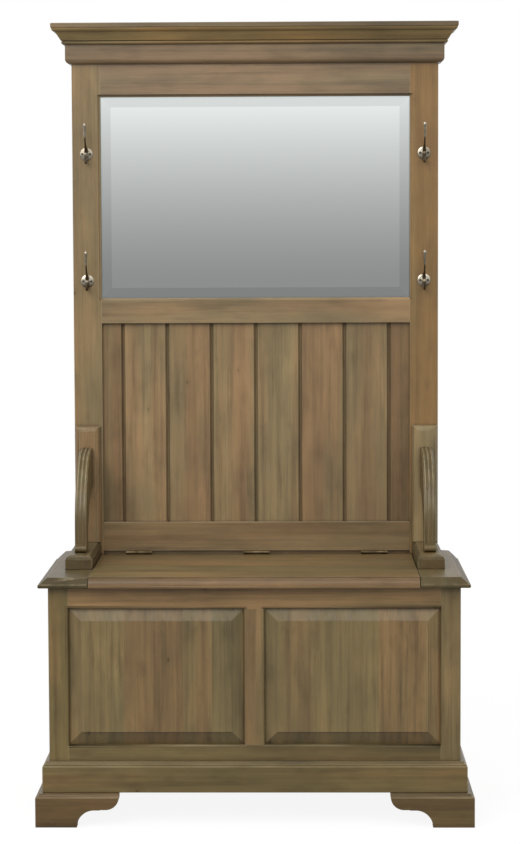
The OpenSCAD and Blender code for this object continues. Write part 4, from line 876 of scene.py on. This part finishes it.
def buildHook(nodeName):
    low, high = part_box(nodeName)
    centre = Vector(((low.x + high.x) / 2, high.y, high.z - hookShape["rise"] * mm))
    place = Matrix.Translation(centre)
    bm = bmesh.new()
    turned(bm, [(r * mm, h * mm) for r, h in hookShape["rose"]], hookShape["turnSteps"], place)
    for prong in ("upper", "lower"):
        rows = smoothPath([Vector(p) * mm for p in hookShape[prong]], hookShape["steps"])
        swept(bm, rows, hookShape["sides"], place)
    bmesh.ops.recalc_face_normals(bm, faces=bm.faces)

    def darkness(spot):
        away = (spot - centre) / mm
        return paintedLightOf(hookPaintedLight, away.x, -away.y, away.z)
    return settle(finishMetal(bm, nodeName, "hook", 50, darkness), [nodeName], "hook_metal")


for nodeName in ("hook_upper_left", "hook_upper_right", "hook_lower_left", "hook_lower_right"):
    buildHook(nodeName)
print("Hooks cast")


# Slotted screws, one where each solid screw is

screwShape = {"head": 2.75 * mm, "dome": 0.7 * mm, "flatDome": 0.15 * mm, "shank": 1.5 * mm,
              "neck": 1.6 * mm, "point": 3 * mm, "slotWidth": 0.75 * mm, "slotDepth": 0.7 * mm,
              "sides": 32, "seed": 5}


def addScrew(bm, headPlace, length, facing, turn, dome):
    shape = screwShape
    profile = [(0.0, -length), (shape["shank"] * 0.35, -length + shape["point"] * 0.3),
               (shape["shank"], -length + shape["point"]), (shape["shank"], -shape["neck"]),
               (shape["head"], 0.0)]
    for k in range(1, 6):
        a = math.radians(90 * k / 5)
        profile.append((shape["head"] * math.cos(a) if k < 5 else 0.0, dome * math.sin(a)))
    single = bmesh.new()
    turned(single, profile, shape["sides"], Matrix.Identity(4))
    bmesh.ops.recalc_face_normals(single, faces=single.faces)
    for x in (-shape["slotWidth"] / 2, shape["slotWidth"] / 2):
        bmesh.ops.bisect_plane(single, geom=single.verts[:] + single.edges[:] + single.faces[:],
                               plane_co=(x, 0, 0), plane_no=(1, 0, 0))
    slot = [f for f in single.faces if abs(f.calc_center_median().x) < shape["slotWidth"] / 2
            and f.calc_center_median().y < 0.0]
    sunk = bmesh.ops.extrude_face_region(single, geom=slot)
    bmesh.ops.delete(single, geom=slot, context="FACES")
    for item in sunk["geom"]:
        if isinstance(item, bmesh.types.BMVert):
            item.co.y = max(item.co.y, -dome) + shape["slotDepth"]
    matrix = Matrix.Translation(headPlace)
    if facing > 0:
        matrix = matrix @ Matrix.Rotation(math.pi, 4, "Z")
    matrix = matrix @ Matrix.Rotation(turn, 4, "Y")
    bmesh.ops.transform(single, matrix=matrix, verts=single.verts)
    held = bpy.data.meshes.new("one screw")
    single.to_mesh(held)
    single.free()
    bm.from_mesh(held)
    bpy.data.meshes.remove(held)


def buildScrews(nodeName, facing, slot, body, dome, dark):
    source = nodeMesh(nodeName)
    boxes = sorted((boxOf(g) for g in islandsOf(source)), key=lambda b: [round(c, 3) for c in b[0]])
    source.free()
    chance = random.Random(screwShape["seed"])
    bm = bmesh.new()
    for low, high in boxes:
        headY = high.y if facing > 0 else low.y
        place = Vector(((low.x + high.x) / 2, headY, (low.z + high.z) / 2))
        addScrew(bm, place, high.y - low.y, facing, chance.uniform(0, math.pi), dome)
    bmesh.ops.dissolve_degenerate(bm, dist=2e-5, edges=bm.edges)
    return settle(finishMetal(bm, nodeName, "screw", 40, lambda spot: dark), [nodeName], slot, body)


for nodeName, facing, slot, body, dome, dark in (
        ("hook_screws", -1, "hook_metal", "body", "dome", 0.7),
        ("hinge_fixed_screws", -1, "screw_metal", "body", "flatDome", 0.3),
        ("hinge_lid_screws", 1, "screw_metal", "lid", "flatDome", 0.3)):
    buildScrews(nodeName, facing, slot, body, screwShape[dome], dark)

# The hinges, pins, bolts and the bevelled glass keep their solids' own shape
for nodeName, material in (("hinge_fixed_leaves", metals["hinge"]),
                           ("hinge_lid_leaves", metals["hinge"]), ("hinge_pins", metals["hinge"]),
                           ("post_bolts", metals["screw"]), ("mirror_glass", silver)):
    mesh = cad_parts[nodeName].data
    mesh.materials.clear()
    mesh.materials.append(material)
print("Fastenings and glass finished")


# Floor, light and camera

floorLook = {"size": 8.0, "drop": 0.0005, "bounce": 0.38, "shadowShare": 0.14, "lit": 0.72}


def buildFloor(look):
    bm = bmesh.new()
    bmesh.ops.create_grid(bm, x_segments=8, y_segments=8, size=look["size"] / 2)
    mesh = bpy.data.meshes.new("floor")
    bm.to_mesh(mesh)
    bm.free()
    floor = bpy.data.objects.new("floor", mesh)
    floor.location = (0, 0, -look["drop"])
    bpy.context.scene.collection.objects.link(floor)
    made, tree = newMaterial("Studio floor")[:2]
    tree.nodes.clear()
    paths = put(tree, "LightPath").outputs
    seen = calc(tree, "MAXIMUM", paths["Is Camera Ray"], paths["Is Transmission Ray"])
    grey = put(tree, "BsdfDiffuse", {"Color": (look["bounce"],) * 3 + (1,)}).outputs[0]
    pale = put(tree, "BsdfDiffuse", {"Color": (look["shadowShare"],) * 3 + (1,)}).outputs[0]
    strength = 1.0 - look["shadowShare"] * look["lit"]        # white where no shadow falls
    glow = put(tree, "Emission", {"Color": (1, 1, 1, 1), "Strength": strength}).outputs[0]
    shown = put(tree, "AddShader", {0: pale, 1: glow}).outputs[0]
    mixed = put(tree, "MixShader", {0: seen, 1: grey, 2: shown}).outputs[0]
    tree.links.new(mixed, put(tree, "OutputMaterial").inputs["Surface"])
    mesh.materials.append(made)


buildFloor(floorLook)

studio = {"horizon": 0.313, "slope": 0.236, "curve": 0.351, "lowAngle": -1.2, "span": 4.27,
          "overrun": 1.12, "wallTop": 4.5, "wallAbove": 0.79, "boxLow": 16, "boxHigh": 50,
          "softBox": 1.5, "ceiling": 0.6, "ground": 0.24, "sides": 0.86, "keyPower": 64,
          "keySize": 3.0, "keyPlace": (-1.9, -3.1, 3.5), "keyAim": (0, 0, 0.9)}


def buildStudio(look):
    scene = bpy.context.scene
    world = bpy.data.worlds.new("Studio")
    scene.world = world
    world.use_nodes = True
    tree = world.node_tree
    tree.nodes.clear()
    # the room in front of the bench: dark at the horizon, bright wall over it, a paler ceiling
    way = split(tree, put(tree, "TexCoord").outputs["Generated"])
    angle = calc(tree, "MULTIPLY", calc(tree, "ARCSINE", way[2]), 180 / math.pi)
    topAngle = look["lowAngle"] + look["span"] * look["overrun"]
    climb = put(tree, "MapRange", {0: angle, 1: look["lowAngle"], 2: topAngle,
                                   3: 0.0, 4: look["overrun"]}).outputs[0]
    wall = calc(tree, "MULTIPLY_ADD", climb, look["curve"], look["slope"])
    wall = calc(tree, "MULTIPLY_ADD", climb, wall, look["horizon"])
    dim = between(tree, angle, look["wallTop"], look["wallTop"] + 4.0, 1.0, look["wallAbove"])
    wall = calc(tree, "MULTIPLY", wall, dim)
    above = between(tree, angle, look["boxLow"], look["boxLow"] + 6.0)
    box = between(tree, angle, look["boxHigh"], look["boxHigh"] + 20.0, look["softBox"], look["ceiling"])
    front = between(tree, way[1], 0.1, -0.3)
    overhead = put(tree, "Mix", {0: front, 2: look["ceiling"], 3: box}).outputs[0]
    light = put(tree, "Mix", {0: above, 2: wall, 3: overhead}).outputs[0]
    below = between(tree, angle, -1.5, -10.0)
    light = put(tree, "Mix", {0: below, 2: light, 3: look["ground"]}).outputs[0]
    beside = between(tree, calc(tree, "ABSOLUTE", way[0]), 0.09, 0.13, 1.0, look["sides"])
    light = calc(tree, "MULTIPLY", light, beside)
    paths = put(tree, "LightPath").outputs
    rear = between(tree, way[1], 0.0, 0.15)        # behind the bench stands the white backdrop
    seen = calc(tree, "MULTIPLY", paths["Is Glossy Ray"], rear)
    seen = calc(tree, "MAXIMUM", seen, paths["Is Camera Ray"])
    seen = calc(tree, "MAXIMUM", seen, paths["Is Transmission Ray"])
    strength = put(tree, "Mix", {0: seen, 2: light, 3: 1.0}).outputs[0]
    back = put(tree, "Background", {"Color": (1, 1, 1, 1), "Strength": strength}).outputs[0]
    tree.links.new(back, put(tree, "OutputWorld").inputs["Surface"])

    lamp = bpy.data.lights.new("keyLamp", "AREA")
    lamp.shape = "DISK"
    lamp.size = look["keySize"]
    lamp.energy = look["keyPower"]
    key = bpy.data.objects.new("keyLamp", lamp)
    key.location = look["keyPlace"]
    key.rotation_mode = "QUATERNION"
    aim = Vector(look["keyAim"]) - Vector(look["keyPlace"])
    key.rotation_quaternion = aim.to_track_quat("-Z", "Y")
    scene.collection.objects.link(key)


buildStudio(studio)

# The photographer's viewpoint, from fitting the photograph's straight edges
cameraView = {"place": (0.0941, -5.2349, 1.3708), "yaw": -0.016, "pitch": -0.067, "roll": -0.004,
              "focalPixels": 2200.0, "axisColumn": 259.05, "axisRow": 380.86,
              "imageWidth": 520, "imageHeight": 844, "sensor": 36}


def buildCamera(look):
    yaw, pitch, roll = look["yaw"], look["pitch"], look["roll"]
    ahead = Vector((math.sin(yaw) * math.cos(pitch), math.cos(yaw) * math.cos(pitch), math.sin(pitch)))
    right = Vector((math.cos(yaw), -math.sin(yaw), 0))
    up = right.cross(ahead)
    right, up = (right * math.cos(roll) + up * math.sin(roll),
                 up * math.cos(roll) - right * math.sin(roll))
    data = bpy.data.cameras.new("photographer")
    data.sensor_width = look["sensor"]
    data.lens = look["focalPixels"] * look["sensor"] / look["imageHeight"]
    data.shift_x = (look["imageWidth"] / 2 - look["axisColumn"]) / look["imageHeight"]
    data.shift_y = (look["axisRow"] - look["imageHeight"] / 2) / look["imageHeight"]
    camera = bpy.data.objects.new("photographer", data)
    facing = Matrix((right, up, -ahead)).transposed()
    camera.matrix_world = Matrix.Translation(look["place"]) @ facing.to_4x4()
    bpy.context.scene.collection.objects.link(camera)
    bpy.context.scene.camera = camera


buildCamera(cameraView)
bpy.context.scene.view_settings.view_transform = "Standard"
print("Studio and camera set")
